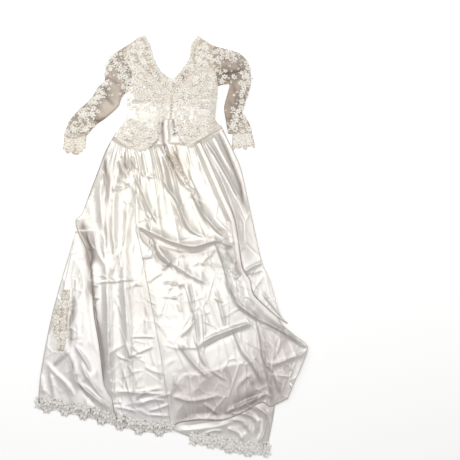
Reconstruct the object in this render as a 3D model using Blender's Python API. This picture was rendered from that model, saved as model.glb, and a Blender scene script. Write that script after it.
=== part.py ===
"""Wedding dress laid flat on its front, as faceted solids at real size.

The dress lies with its back up. The front of the skirt, bodice and sleeves is the layer on the
floor. The back lies on it, with gathers at the waist and long folds down to the train.
Tables are in millimetres in the garment frame: origin at the centre of the waist, +X to the right,
+Y towards the neckline. The finished part is moved so that the middle of its base is the origin.
"""
import math
from collections import namedtuple

import bmesh
import bpy
from mathutils import Vector

MM = 0.001
CLOTH = 1.5            # wall of satin with its lining
LACE = 1.2             # wall of a lace piece
GAP = 0.3              # clearance between pieces at seams and between layers
SEAM_INSET = 0.2       # each panel edge stands this far inside its seam line
LAYER_2 = CLOTH + GAP              # lowest point of a panel lying on the under layer
LAYER_3 = LAYER_2 + CLOTH + GAP    # lowest point of a panel lying on a flat second layer
LACE_LIFT = 0.7        # clearance of a lace piece over the cloth that carries it
CENTRE = (40.5, -508.2)            # middle of the outline in the garment frame
FOLD_DEPTH = 1.35      # how high the long folds stand, against their table
UNDER_INSET = 4.0      # how far the under layer stays inside the outline

EdgePoint = namedtuple("EdgePoint", "x y")
Fold = namedtuple("Fold", "x0 y0 x1 y1 x2 y2 width height")
Finish = namedtuple("Finish", "name colour roughness")

IVORY_SATIN = Finish("ivory_satin", (0.86, 0.80, 0.74, 1.0), 0.32)
WHITE_SATIN = Finish("white_satin", (0.88, 0.86, 0.85, 1.0), 0.28)
IVORY_LACE = Finish("ivory_lace", (0.84, 0.76, 0.66, 1.0), 0.70)
SHEER_NET = Finish("sheer_net", (0.70, 0.58, 0.49, 1.0), 0.80)
BUTTON_SATIN = Finish("button_satin", (0.80, 0.74, 0.66, 1.0), 0.40)


def edge(*pairs):
    """An edge as named points, from (x, y) pairs in millimetres."""
    return [EdgePoint(*pair) for pair in pairs]


# Seams and outlines of the bodice, each from left to right or from top to bottom.
SHOULDER_LEFT = edge((-244, 444), (-206, 474), (-172, 493))
SHOULDER_RIGHT = edge((130, 486), (164, 466), (199, 438))
ARMHOLE_LEFT = edge((-244, 444), (-263, 402), (-256, 354))
ARMHOLE_RIGHT = edge((199, 438), (200, 366), (216, 284))
YOKE_NECK_LEFT = edge((-172, 493), (-143, 432), (-122, 358), (-90, 280), (-48, 222), (-5, 162))
YOKE_NECK_RIGHT = edge((130, 486), (104, 432), (96, 352), (134, 312))
YOKE_SEAM_LEFT = edge((-256, 354), (-176, 324), (-112, 260), (-58, 208), (-5, 162))
V_EDGE_RIGHT = edge((-5, 162), (40, 202), (84, 254), (134, 312))
YOKE_SEAM_RIGHT = edge((134, 312), (176, 300), (216, 284))
ILLUSION_TOP = edge((-4, 222), (48, 280), (91, 346))
ILLUSION_FOOT = edge((-5, 162), (40, 202), (84, 254), (129, 306))
ILLUSION_CENTRE = edge((-4, 222), (-5, 162))
ILLUSION_SIDE = edge((91, 346), (129, 306))
SIDE_LEFT = edge((-256, 354), (-220, 295), (-213, 237), (-228, 168), (-225, 22), (-251, -33), (-282, -82))
SIDE_RIGHT = edge((216, 284), (227, 202), (222, 122), (213, 22), (228, -11), (248, -38))
CENTRE_BACK = edge((-5, 162), (-5, 80), (-5, 12))
LOBE_LEFT = edge((-282, -82), (-246, -114), (-200, -142), (-151, -152), (-103, -138), (-66, -98),
                 (-52, -33), (-46, 4), (-5, 12))
LOBE_RIGHT = edge((-5, 12), (22, 0), (29, -62), (52, -110), (92, -134), (132, -114), (170, -92),
                  (208, -64), (248, -38))
PLACKET_TOP = edge((-72, 26), (-5, 30), (46, 26))
PLACKET_LEFT = edge((-72, 26), (-78, -60), (-96, -122))
PLACKET_RIGHT = edge((46, 26), (50, -60), (64, -108))
PLACKET_FOOT = edge((-96, -122), (-20, -121), (40, -118), (64, -108))

# Neckline of the under layer: the seam of its edging, from the shoulder to the centre.
NECK_SEAM_LEFT = edge((-170, 490), (-141, 434), (-120, 360), (-80, 280), (-20, 228))
NECK_SEAM_RIGHT = edge((128, 484), (102, 436), (92, 360), (56, 290), (10, 228))
NECK_POINT = (-5, 216)
SHOULDER_CUT_LEFT = edge((-244, 440), (-206, 470), (-170, 490))
SHOULDER_CUT_RIGHT = edge((128, 484), (164, 464), (199, 436))

# Seams and outlines of the skirt. The waist lies 20 mm under the lobes of the bodice.
WAIST_LEFT = edge((-276, -62), (-240, -92), (-205, -116))
WAIST_BACK = edge((-205, -116), (-150, -130), (-90, -112), (-20, -98), (30, -96), (92, -112), (150, -82))
WAIST_RIGHT = edge((132, -92), (170, -72), (208, -44), (244, -20))
SEAM_BACK = edge((-205, -116), (-168, -276), (-148, -536), (-134, -590), (-88, -788), (-26, -1048),
                 (20, -1270), (42, -1402))
OUTLINE_UPPER_LEFT = edge((-276, -62), (-316, -152), (-340, -236), (-374, -358), (-406, -476),
                          (-432, -508), (-416, -568), (-362, -672), (-336, -788), (-316, -932),
                          (-282, -1072), (-248, -1234), (-210, -1298), (-188, -1376))
TUCK_LEFT = edge((-400, -572), (-336, -672), (-310, -788), (-290, -932), (-256, -1072),
                 (-222, -1234), (-190, -1374))
OUTLINE_SIDE_LEFT = edge((-428, -562), (-456, -706), (-480, -828), (-500, -944), (-516, -1094),
                         (-524, -1218), (-520, -1310))
SIDE_GORE_TOP = edge((-428, -562), (-400, -572))
HEM_SIDE_LEFT = edge((-520, -1310), (-448, -1316), (-364, -1332), (-292, -1346), (-190, -1374))
HEM_BACK_LEFT = edge((-188, -1376), (-108, -1392), (-44, -1402), (42, -1402))
LAP_RIGHT = edge((132, -92), (176, -192), (250, -372), (308, -508), (340, -724), (374, -788),
                 (392, -856), (464, -928), (520, -972))
OUTLINE_RIGHT = edge((244, -20), (278, -98), (336, -230), (364, -358), (396, -520), (434, -706),
                     (468, -788), (508, -936), (540, -980))
LAP_RIGHT_END = edge((520, -972), (540, -980))
TRAIN_RIGHT = edge((150, -82), (194, -200), (268, -374), (326, -508), (358, -722), (392, -780),
                   (410, -845), (480, -915), (514, -980), (566, -1026), (626, -1078), (602, -1152),
                   (568, -1218), (532, -1294))
TRAIN_FOLD_EDGE = edge((42, -1402), (70, -1368), (164, -1372), (256, -1380), (330, -1352),
                       (420, -1310), (456, -1326), (532, -1294))
FRONT_WAIST_LEFT = edge((-282, -86), (-200, -140), (-5, -104))
FRONT_WAIST_RIGHT = edge((-5, -104), (90, -134), (246, -42))
FRONT_EDGE_RIGHT = edge((505, -936), (516, -1000), (500, -1150), (478, -1329), (440, -1490))
FRONT_HEM_RIGHT = edge((440, -1490), (328, -1484), (226, -1460), (136, -1446))
FRONT_HEM_STEP = edge((54, -1421), (50, -1399))
FRONT_HEM_LEFT = edge((50, -1399), (-44, -1400), (-108, -1392), (-190, -1374), (-292, -1346),
                      (-364, -1332), (-448, -1316), (-520, -1310))
HEM_SEAM_LEFT = edge((-518, -1308), (-448, -1314), (-364, -1330), (-292, -1344), (-190, -1372),
                     (-108, -1390), (-44, -1400), (34, -1400))
MOTIF_SEAM = edge((-432, -832), (-429, -900), (-432, -980), (-444, -1050), (-466, -1096))
TAIL_SEAM = edge((-20, -152), (24, -204), (72, -276), (98, -336))
TURNED_UNDER = edge((520, -996), (566, -1030), (622, -1078), (598, -1150), (564, -1216), (528, -1288),
                    (486, -1308), (502, -1150))

# Sleeves, each edge from the armhole to the cuff.
SLEEVE_LEFT_OUTER = edge((-244, 444), (-294, 402), (-327, 360), (-344, 307), (-344, 237), (-382, 191),
                         (-412, 128), (-476, 55), (-512, -4), (-528, -76))
SLEEVE_LEFT_INNER = edge((-257, 139), (-273, 83), (-329, 22), (-376, -16), (-416, -72))
SLEEVE_LEFT_END = edge((-528, -76), (-478, -90), (-416, -72))
SLEEVE_RIGHT_INNER = edge((284, 214), (273, 151), (258, 78), (268, 0), (278, -64))
SLEEVE_RIGHT_OUTER = edge((199, 438), (277, 414), (340, 390), (381, 337), (395, 260), (389, 191),
                          (363, 106), (348, 50), (382, -5), (396, -56))
SLEEVE_RIGHT_END = edge((278, -64), (336, -68), (396, -56))
CUFF_SEAM_LEFT = edge((-526, -76.8), (-478, -90.8), (-418, -72.8))
CUFF_SEAM_RIGHT = edge((302, -66.4), (340, -68.6), (395, -56.5))

# Long folds of the skirt: a soft ridge along a bent line, with its half width and height.
FOLDS = [
    Fold(-278, -150, -345, -330, -300, -560, 22, 12),
    Fold(-300, -560, -262, -800, -225, -1180, 26, 14),
    Fold(-240, -170, -262, -420, -236, -700, 18, 8),
    Fold(-190, -330, -200, -700, -150, -1120, 22, 9),
    Fold(-160, -290, -90, -440, -30, -540, 18, 14),
    Fold(-90, -190, 20, -350, 150, -540, 20, 16),
    Fold(150, -540, 220, -590, 285, -640, 18, 14),
    Fold(-150, -560, 40, -690, 215, -620, 22, 20),
    Fold(-70, -620, 0, -720, 140, -770, 22, 12),
    Fold(100, -200, 150, -360, 215, -560, 18, 12),
    Fold(215, -640, 260, -760, 306, -880, 20, 14),
    Fold(306, -880, 360, -950, 590, -1070, 22, 16),
    Fold(170, -1075, 280, -1020, 390, -985, 22, 18),
    Fold(120, -1040, 190, -1150, 260, -1240, 22, 12),
    Fold(-60, -800, -10, -940, 20, -1080, 26, 8),
    Fold(70, -820, 120, -930, 150, -1040, 24, 10),
    Fold(200, -1210, 330, -1240, 450, -1170, 28, 14),
    Fold(420, -1040, 480, -1120, 520, -1230, 22, 12),
    Fold(-100, -1080, -60, -1200, -30, -1330, 22, 7),
    Fold(240, -130, 335, -340, 385, -640, 22, 12),
    Fold(390, -680, 420, -790, 480, -900, 18, 8),
    Fold(-390, -1130, -350, -1220, -280, -1310, 20, 6),
]
# Creases pressed across the bodice back.
BODICE_CREASES = [
    Fold(-205, 108, -160, 94, -100, 104, 14, 5),
    Fold(-214, 60, -180, 66, -150, 92, 12, 3),
    Fold(105, 130, 150, 160, 205, 150, 16, 5),
    Fold(110, 60, 160, 90, 212, 62, 14, 5),
    Fold(120, 20, 170, 44, 222, 26, 12, 4),
    Fold(-190, 250, -140, 220, -110, 170, 16, 4),
]
BODICE_SWELL = 11.0
YOKE_SWELL = 5.0
SLEEVE_PUFF = 26.0
LACE_SHARE = 2         # lace points for each cell of the panel that carries it
ROSETTE_HEIGHT = 1.2

# The flat strips of cloth that carry lace pieces: no fold is raised within this reach of them.
TAIL_LINE = edge((-28, -150), (24, -190), (66, -256), (94, -330))
MOTIF_LINE = edge((-462, -835), (-474, -970), (-482, -1095))
BARE_REACH = (52.0, 90.0)


def clear_scene():
    """Remove every object that the scene starts with."""
    for item in list(bpy.data.objects):
        bpy.data.objects.remove(item, do_unlink=True)


def smooth_step(value, low, high):
    """0 below low, 1 above high, with a soft rise between."""
    t = min(1.0, max(0.0, (value - low) / (high - low)))
    return t * t * (3.0 - 2.0 * t)


def curve_point(points, index, t):
    """A point of the Catmull-Rom curve through the edge's points."""
    a = points[max(0, index - 1)]
    b = points[index]
    c = points[index + 1]
    d = points[min(len(points) - 1, index + 2)]
    result = []
    for p, q, r, s in zip(a, b, c, d):
        slope_in = (r - p) * 0.5 * 0.8
        slope_out = (s - q) * 0.5 * 0.8
        result.append((2 * t**3 - 3 * t**2 + 1) * q + (t**3 - 2 * t**2 + t) * slope_in
                      + (3 * t**2 - 2 * t**3) * r + (t**3 - t**2) * slope_out)
    return tuple(result)


def spread(points, count):
    """Points evenly spaced along the smooth curve through an edge."""
    return spread_at(points, even(count))


def spread_at(points, places):
    """Points of the smooth curve through an edge, at shares of its length."""
    fine = []
    steps = 12
    for index in range(len(points) - 1):
        fine += [curve_point(points, index, step / steps) for step in range(steps)]
    fine.append(tuple(points[-1]))
    reach = [0.0]
    for a, b in zip(fine, fine[1:]):
        reach.append(reach[-1] + math.dist(a, b))
    result = []
    at = 0
    for place_share in places:
        target = reach[-1] * place_share
        while at < len(fine) - 2 and reach[at + 1] < target:
            at += 1
        length = reach[at + 1] - reach[at]
        t = (target - reach[at]) / length if length else 0.0
        result.append(tuple(p + (q - p) * t for p, q in zip(fine[at], fine[at + 1])))
    return result


def even(rows):
    """Row places at equal steps from 0 to 1."""
    return [j / rows for j in range(rows + 1)]


def patch(top, bottom, left, right, columns, places):
    """Grid of (x, y) points between four edges, row by row from the top edge.

    top may be an edge or a list of points already spread; places are the rows' shares of the
    side edges, from 0 at the top to 1 at the bottom.
    """
    upper = top if len(top) == columns + 1 else spread(top, columns)
    lower = spread(bottom, columns)
    first = spread_at(left, places)
    last = spread_at(right, places)
    grid = []
    for j, v in enumerate(places):
        line = []
        for i in range(columns + 1):
            u = i / columns
            point = []
            for axis in (0, 1):
                ruled = (1 - v) * upper[i][axis] + v * lower[i][axis]
                ruled += (1 - u) * first[j][axis] + u * last[j][axis]
                ruled -= (1 - u) * (1 - v) * upper[0][axis] + u * (1 - v) * upper[-1][axis]
                ruled -= (1 - u) * v * lower[0][axis] + u * v * lower[-1][axis]
                point.append(ruled)
            line.append(tuple(point))
        grid.append(line)
    return grid


def inset_rim(grid):
    """Draw the rim of a grid in by the seam inset, towards its neighbours inside."""
    rows = len(grid) - 1
    columns = len(grid[0]) - 1
    result = [list(line) for line in grid]
    for j in range(rows + 1):
        for i in range(columns + 1):
            inner_i = min(max(i, 1), columns - 1)
            inner_j = min(max(j, 1), rows - 1)
            if (inner_i, inner_j) == (i, j):
                continue
            here = grid[j][i]
            x, y = here
            for other in (grid[j][inner_i], grid[inner_j][i]):
                distance = math.dist(here, other)
                if distance:
                    x += (other[0] - here[0]) / distance * SEAM_INSET
                    y += (other[1] - here[1]) / distance * SEAM_INSET
            result[j][i] = (x, y)
    return result


def bend_distance(fold, x, y):
    """Distance from a point to a fold's line, and the fraction along it."""
    best = (1e9, 0.0)
    steps = 10
    previous = (fold.x0, fold.y0)
    for step in range(1, steps + 1):
        t = step / steps
        current = ((1 - t)**2 * fold.x0 + 2 * t * (1 - t) * fold.x1 + t * t * fold.x2,
                   (1 - t)**2 * fold.y0 + 2 * t * (1 - t) * fold.y1 + t * t * fold.y2)
        dx, dy = current[0] - previous[0], current[1] - previous[1]
        along = ((x - previous[0]) * dx + (y - previous[1]) * dy) / (dx * dx + dy * dy)
        along = min(1.0, max(0.0, along))
        distance = math.hypot(x - previous[0] - along * dx, y - previous[1] - along * dy)
        if distance < best[0]:
            best = (distance, (step - 1 + along) / steps)
        previous = current
    return best


def fold_height(x, y):
    """Height of the long folds of the skirt over a flat layer."""
    total = 0.0
    for fold in FOLDS:
        distance, along = bend_distance(fold, x, y)
        if distance < 3.0 * fold.width:
            taper = min(1.0, 4.0 * along + 0.15, 4.0 * (1.0 - along) + 0.15)
            total += FOLD_DEPTH * fold.height * taper * math.exp(-(distance / fold.width)**2)
    return total


def edge_distance(points, x, y):
    """Distance from a point to the straight runs of an edge."""
    best = 1e9
    for a, b in zip(points, points[1:]):
        dx, dy = b[0] - a[0], b[1] - a[1]
        along = min(1.0, max(0.0, ((x - a[0]) * dx + (y - a[1]) * dy) / (dx * dx + dy * dy)))
        best = min(best, math.hypot(x - a[0] - along * dx, y - a[1] - along * dy))
    return best


def material(finish):
    """The Principled material of a finish, made once."""
    found = bpy.data.materials.get(finish.name)
    if found:
        return found
    made = bpy.data.materials.new(finish.name)
    made.use_nodes = True
    shader = made.node_tree.nodes["Principled BSDF"]
    shader.inputs["Base Color"].default_value = finish.colour
    shader.inputs["Roughness"].default_value = finish.roughness
    shader.inputs["Metallic"].default_value = 0.0
    return made


def place(x, y, z):
    """A garment-frame point in millimetres, as a Blender point in metres."""
    return ((x - CENTRE[0]) * MM, (y - CENTRE[1]) * MM, z * MM)


def finish_object(name, vertices, faces, finish):
    """Make an object from points and faces, with faces turned outwards."""
    mesh = bpy.data.meshes.new(name)
    mesh.from_pydata([place(*vertex) for vertex in vertices], [], faces)
    form = bmesh.new()
    form.from_mesh(mesh)
    bmesh.ops.recalc_face_normals(form, faces=form.faces)
    form.to_mesh(mesh)
    form.free()
    mesh.materials.append(material(finish))
    thing = bpy.data.objects.new(name, mesh)
    bpy.context.scene.collection.objects.link(thing)
    return thing


def under_side(grid, tops, floors, thickness):
    """Heights of a wall's inside: the thickness is measured across the slope."""
    rows = len(grid)
    columns = len(grid[0])
    result = []
    for j in range(rows):
        line = []
        for i in range(columns):
            slope = 0.0
            for other_j, other_i in ((j - 1, i), (j + 1, i), (j, i - 1), (j, i + 1)):
                if 0 <= other_j < rows and 0 <= other_i < columns:
                    run = math.dist(grid[j][i], grid[other_j][other_i])
                    rise = abs(tops[j][i] - tops[other_j][other_i])
                    slope = max(slope, rise / max(run, 1.0))
            depth = thickness * min(1.8, math.sqrt(1.0 + slope * slope))
            line.append(max(floors[j][i], tops[j][i] - depth))
        result.append(line)
    return result


def wall(name, grid, tops, floors, thickness, finish):
    """A cloth wall over a grid of points, with the height of its outer side at each one."""
    rows = len(grid)
    columns = len(grid[0])
    inside = under_side(grid, tops, floors, thickness)
    drawn = inset_rim(grid)
    vertices = []
    for heights in (tops, inside):
        for line, levels in zip(drawn, heights):
            vertices += [(x, y, z) for (x, y), z in zip(line, levels)]
    count = rows * columns
    faces = []
    for j in range(rows - 1):
        for i in range(columns - 1):
            a = j * columns + i
            b = a + columns
            for face in ((a, b, b + 1), (a, b + 1, a + 1)):
                faces.append(face)
                faces.append(tuple(index + count for index in reversed(face)))
    rim = list(range(columns))
    rim += [j * columns + columns - 1 for j in range(1, rows)]
    rim += [(rows - 1) * columns + i for i in range(columns - 2, -1, -1)]
    rim += [j * columns for j in range(rows - 2, 0, -1)]
    for a, b in zip(rim, rim[1:] + rim[:1]):
        faces.append((a, b, b + count, a + count))
    return finish_object(name, vertices, faces, finish)


def slab(name, outline, low, high, finish):
    """A flat wall with the given outline between two heights."""
    count = len(outline)
    vertices = [(x, y, low) for x, y in outline] + [(x, y, high) for x, y in outline]
    faces = [tuple(range(count)), tuple(range(2 * count - 1, count - 1, -1))]
    for i in range(count):
        j = (i + 1) % count
        faces.append((i, j, j + count, i + count))
    return finish_object(name, vertices, faces, finish)


def inset_outline(points, distance):
    """A closed outline drawn in by a distance, for points in either direction round it."""
    count = len(points)
    area = sum(points[i][0] * points[(i + 1) % count][1] - points[(i + 1) % count][0] * points[i][1]
               for i in range(count))
    turn = 1.0 if area > 0 else -1.0
    result = []
    for i, here in enumerate(points):
        before = points[i - 1]
        after = points[(i + 1) % count]
        normal = Vector((0.0, 0.0))
        for a, b in ((before, here), (here, after)):
            run = Vector((b[0] - a[0], b[1] - a[1]))
            if run.length:
                normal += Vector((-run.y, run.x)) / run.length
        if normal.length:
            normal.normalize()
        result.append((here[0] + turn * distance * normal.x, here[1] + turn * distance * normal.y))
    return result


def outline_of(*edges, step=30.0):
    """One closed outline from edges that follow each other, without doubled points."""
    points = []
    for part in edges:
        length = sum(math.dist(a, b) for a, b in zip(part, part[1:]))
        for point in spread(part, max(1, round(length / step))):
            if not points or math.dist(points[-1], point) > 3.0:
                points.append(point)
    if math.dist(points[0], points[-1]) < 3.0:
        points.pop()
    return points


def backwards(points):
    """An edge from its end to its start."""
    return list(reversed(points))


def bare_mask(x, y):
    """0 on the strips that carry lace pieces, 1 away from them."""
    low, high = BARE_REACH
    tail = smooth_step(edge_distance(TAIL_LINE, x, y), low, high)
    motif = smooth_step(edge_distance(MOTIF_LINE, x, y), low, high)
    return tail * motif


def heights_over(grid, height):
    """A height for each point of a grid, from height(i, j, x, y)."""
    return [[height(i, j, x, y) for i, (x, y) in enumerate(line)] for j, line in enumerate(grid)]


def gather(i, places, j, depth):
    """Height of the waist gathers: every other column is a ridge that fades towards the knee."""
    if i % 2 == 0:
        return 0.0
    start = (0.0, 0.0, 0.85)[j] if j < 3 else 1.0
    uneven = 0.72 + 0.28 * math.sin(2.3 * i + 0.7)
    reach = 0.22 + 0.10 * math.sin(1.7 * i)
    return depth * start * uneven * (1.0 - smooth_step(places[j], 0.04, reach))


def skirt_places(rows, length):
    """Row places of a gore: two short rows at the waist, then equal ones."""
    first = 28.0 / length
    second = 54.0 / length
    rest = [second + (1.0 - second) * k / (rows - 2) for k in range(1, rows - 1)]
    return [0.0, first, second] + rest


LOWER_LAP = OUTLINE_UPPER_LEFT[5:]
LEFT_COLUMNS = 12
BACK_COLUMNS = 20
RIGHT_COLUMNS = 8
SIDE_COLUMNS = 6
GORE_ROWS = 32
RIGHT_ROWS = 20
SIDE_ROWS = 22
GORE_LENGTH = 1320.0
RIGHT_LENGTH = 1000.0
GATHER_DEPTH = 11.0
GATHER_DEPTH_SIDE = 12.0
LAP_REACH = (46.0, 84.0)        # where a fold lies flat under the next gore, and where it is full
STEP_REACH = (62.0, 100.0)      # where the left gore has come down from the layer under it
OUTLINE_STEP = 60.0
HEM_UNITS_RIGHT = 13


def front_hem():
    """Points along the hem of the under layer, from right to left, two for each lace unit."""
    return spread(FRONT_HEM_RIGHT, 2 * HEM_UNITS_RIGHT)


def flat_level(level):
    """A height that is the same at every point."""
    return lambda i, j, x, y: level


def rim_fade(j, rows):
    """0 on the first and last row of a panel, 1 between."""
    return 1.0 if 0 < j < rows else 0.0


def folds_at(i, j, x, y, places, depth):
    """Height of the folds and gathers of a gore at one of its points."""
    return fold_height(x, y) * (j > 1) + gather(i, places, j, depth)


def build_under_layer():
    """The front of the skirt, flat on the floor, and the stretch of the train turned under it."""
    front = outline_of(FRONT_WAIST_LEFT, FRONT_WAIST_RIGHT, OUTLINE_RIGHT[1:8], FRONT_EDGE_RIGHT,
                       step=OUTLINE_STEP)
    front += front_hem()[1:-1]
    front += outline_of(FRONT_HEM_STEP, FRONT_HEM_LEFT, backwards(OUTLINE_SIDE_LEFT),
                        backwards(OUTLINE_UPPER_LEFT[1:5]), step=OUTLINE_STEP)
    slab("skirt_front", inset_outline(front, UNDER_INSET), 0.0, CLOTH, WHITE_SATIN)
    slab("train_turned_under", [tuple(p) for p in TURNED_UNDER], 0.0, CLOTH, WHITE_SATIN)


def left_floor(i, j, x, y):
    """Underside of the left gore, which steps down where it leaves the side gore."""
    near = 1.0 - smooth_step(edge_distance(LOWER_LAP, x, y), *STEP_REACH)
    return LAYER_2 + (LAYER_3 - LAYER_2) * near


def build_gores():
    """The four gores of the back."""
    places = skirt_places(GORE_ROWS, GORE_LENGTH)
    lap_places = skirt_places(RIGHT_ROWS, RIGHT_LENGTH)
    left = patch(WAIST_LEFT, HEM_BACK_LEFT, OUTLINE_UPPER_LEFT, SEAM_BACK, LEFT_COLUMNS, places)
    back = patch(WAIST_BACK, TRAIN_FOLD_EDGE, SEAM_BACK, TRAIN_RIGHT, BACK_COLUMNS, places)
    right = patch(WAIST_RIGHT, LAP_RIGHT_END, LAP_RIGHT, OUTLINE_RIGHT, RIGHT_COLUMNS, lap_places)
    side = patch(SIDE_GORE_TOP, HEM_SIDE_LEFT, OUTLINE_SIDE_LEFT, TUCK_LEFT, SIDE_COLUMNS, even(SIDE_ROWS))

    def left_height(i, j, x, y):
        folds = folds_at(i, j, x, y, places, GATHER_DEPTH) * bare_mask(x, y)
        seam = 1.0 if i == LEFT_COLUMNS else smooth_step(i, -0.5, 2.0)
        return left_floor(i, j, x, y) + CLOTH + folds * seam * rim_fade(j, GORE_ROWS)

    def back_height(i, j, x, y):
        folds = folds_at(i, j, x, y, places, GATHER_DEPTH) * bare_mask(x, y)
        lap = smooth_step(edge_distance(LAP_RIGHT, x, y), *LAP_REACH)
        outer = smooth_step(BACK_COLUMNS - i, -0.5, 2.0)
        return LAYER_2 + CLOTH + folds * lap * outer * rim_fade(j, GORE_ROWS)

    def right_height(i, j, x, y):
        folds = folds_at(i, j, x, y, lap_places, GATHER_DEPTH_SIDE)
        outer = smooth_step(min(i, RIGHT_COLUMNS - i), -0.5, 1.5)
        return LAYER_3 + CLOTH + folds * outer * rim_fade(j, RIGHT_ROWS)

    def side_height(i, j, x, y):
        folds = fold_height(x, y) * bare_mask(x, y)
        lap = smooth_step(edge_distance(LOWER_LAP, x, y), *LAP_REACH)
        return LAYER_2 + CLOTH + folds * lap * smooth_step(i, -0.5, 1.5) * rim_fade(j, SIDE_ROWS)

    for name, grid, height, floor in (("skirt_back_left", left, left_height, left_floor),
                                      ("skirt_back_right", back, back_height, flat_level(LAYER_2)),
                                      ("skirt_side_right", right, right_height, flat_level(LAYER_3)),
                                      ("skirt_side_left", side, side_height, flat_level(LAYER_2))):
        wall(name, grid, heights_over(grid, height), heights_over(grid, floor), CLOTH, WHITE_SATIN)


NECK_UNITS = 12
BODICE_COLUMNS = 10
BODICE_ROWS = 12
ARMPIT_ROW_LEFT = 5
ARMPIT_ROW_RIGHT = 3
YOKE_ROWS = 6


def bodice_floor(y):
    """Lowest point of the bodice back: it rises over the waist of the skirt and the placket."""
    return LAYER_2 + 2 * (CLOTH + GAP) * (1.0 - smooth_step(y, 66.0, 118.0))


def crumples(x, y):
    """Height of the creases pressed into the bodice back."""
    total = 0.0
    for crease in BODICE_CREASES:
        distance, along = bend_distance(crease, x, y)
        taper = min(1.0, 4.0 * along + 0.2, 4.0 * (1.0 - along) + 0.2)
        total += crease.height * taper * math.exp(-(distance / crease.width)**2)
    return total


def bodice_top(x, y):
    """Outer side of the bodice back, raised over the boning at each side of the centre."""
    off_centre = smooth_step(abs(x + 5.0), 22.0, 85.0)
    to_side = smooth_step(min(x + 262.0, 250.0 - x), 8.0, 75.0)
    to_waist = smooth_step(y, -150.0, -70.0)
    to_yoke = 1.0 - smooth_step(y + 0.45 * abs(x + 5.0), 190.0, 300.0)
    swell = BODICE_SWELL * off_centre * to_side * to_waist * (0.35 + 0.65 * to_yoke)
    return bodice_floor(y) + CLOTH + swell + crumples(x, y) * off_centre * to_side


def build_bodice():
    """Under layer, placket panel, bodice backs and yokes. Returns the grids at the armholes."""
    placket = patch(PLACKET_TOP, PLACKET_FOOT, PLACKET_LEFT, PLACKET_RIGHT, 6, even(6))
    wall("placket_panel", placket, heights_over(placket, flat_level(LAYER_3 + CLOTH)),
         heights_over(placket, flat_level(LAYER_3)), CLOTH, WHITE_SATIN)

    places = even(BODICE_ROWS)
    left = patch(YOKE_SEAM_LEFT, LOBE_LEFT, SIDE_LEFT, CENTRE_BACK, BODICE_COLUMNS, places)
    right_top = V_EDGE_RIGHT + YOKE_SEAM_RIGHT[1:]
    right = patch(right_top, LOBE_RIGHT, CENTRE_BACK, SIDE_RIGHT, BODICE_COLUMNS, places)
    for name, grid in (("bodice_back_left", left), ("bodice_back_right", right)):
        wall(name, grid, heights_over(grid, lambda i, j, x, y: bodice_top(x, y)),
             heights_over(grid, lambda i, j, x, y: bodice_floor(y)), CLOTH, IVORY_SATIN)

    yoke_places = even(YOKE_ROWS)
    yoke_left = patch(SHOULDER_LEFT, YOKE_SEAM_LEFT, ARMHOLE_LEFT, YOKE_NECK_LEFT, 6, yoke_places)
    yoke_right = patch(SHOULDER_RIGHT, YOKE_SEAM_RIGHT, YOKE_NECK_RIGHT, ARMHOLE_RIGHT, 4, yoke_places)
    inset = patch(ILLUSION_TOP, ILLUSION_FOOT, ILLUSION_CENTRE, ILLUSION_SIDE, 5, even(3))
    for name, grid, finish in (("yoke_left", yoke_left, IVORY_LACE), ("yoke_right", yoke_right, IVORY_LACE),
                               ("illusion_panel", inset, SHEER_NET)):
        rows = len(grid) - 1
        columns = len(grid[0]) - 1

        def swelled(i, j, x, y):
            inner = 1.0 if 0 < i < columns and 0 < j < rows else 0.0
            return LAYER_2 + LACE + YOKE_SWELL * inner
        wall(name, grid, heights_over(grid, swelled), heights_over(grid, flat_level(LAYER_2)),
             LACE, finish)

    side_left = [line[0] for line in yoke_left] + [line[0] for line in left[1:]]
    side_right = [line[-1] for line in yoke_right] + [line[-1] for line in right[1:]]
    neck_left = spread(NECK_SEAM_LEFT, 2 * NECK_UNITS)
    neck_right = spread(NECK_SEAM_RIGHT, 2 * NECK_UNITS)
    left_under = neck_left + [NECK_POINT] + outline_of(backwards(FRONT_WAIST_LEFT), step=OUTLINE_STEP)
    left_under += backwards(side_left[:-1]) + [tuple(SHOULDER_CUT_LEFT[1])]
    right_under = outline_of(FRONT_WAIST_RIGHT, step=OUTLINE_STEP) + backwards(side_right[:-1])
    right_under += [tuple(SHOULDER_CUT_RIGHT[1])] + neck_right + [NECK_POINT]
    slab("bodice_front_left", inset_outline(left_under, 0.5), 0.0, CLOTH, IVORY_SATIN)
    slab("bodice_front_right", inset_outline(right_under, 0.5), 0.0, CLOTH, IVORY_SATIN)
    head_left = side_left[:YOKE_ROWS + ARMPIT_ROW_LEFT + 1]
    head_right = side_right[:YOKE_ROWS + ARMPIT_ROW_RIGHT + 1]
    for name, seam in (("neck_edging_left", backwards(neck_left)), ("neck_edging_right", neck_right)):
        lace_strip(name, seam, NECK_UNITS, 14.0, (0.0, LACE), 0.5)
    return left, right, head_left, head_right


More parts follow.
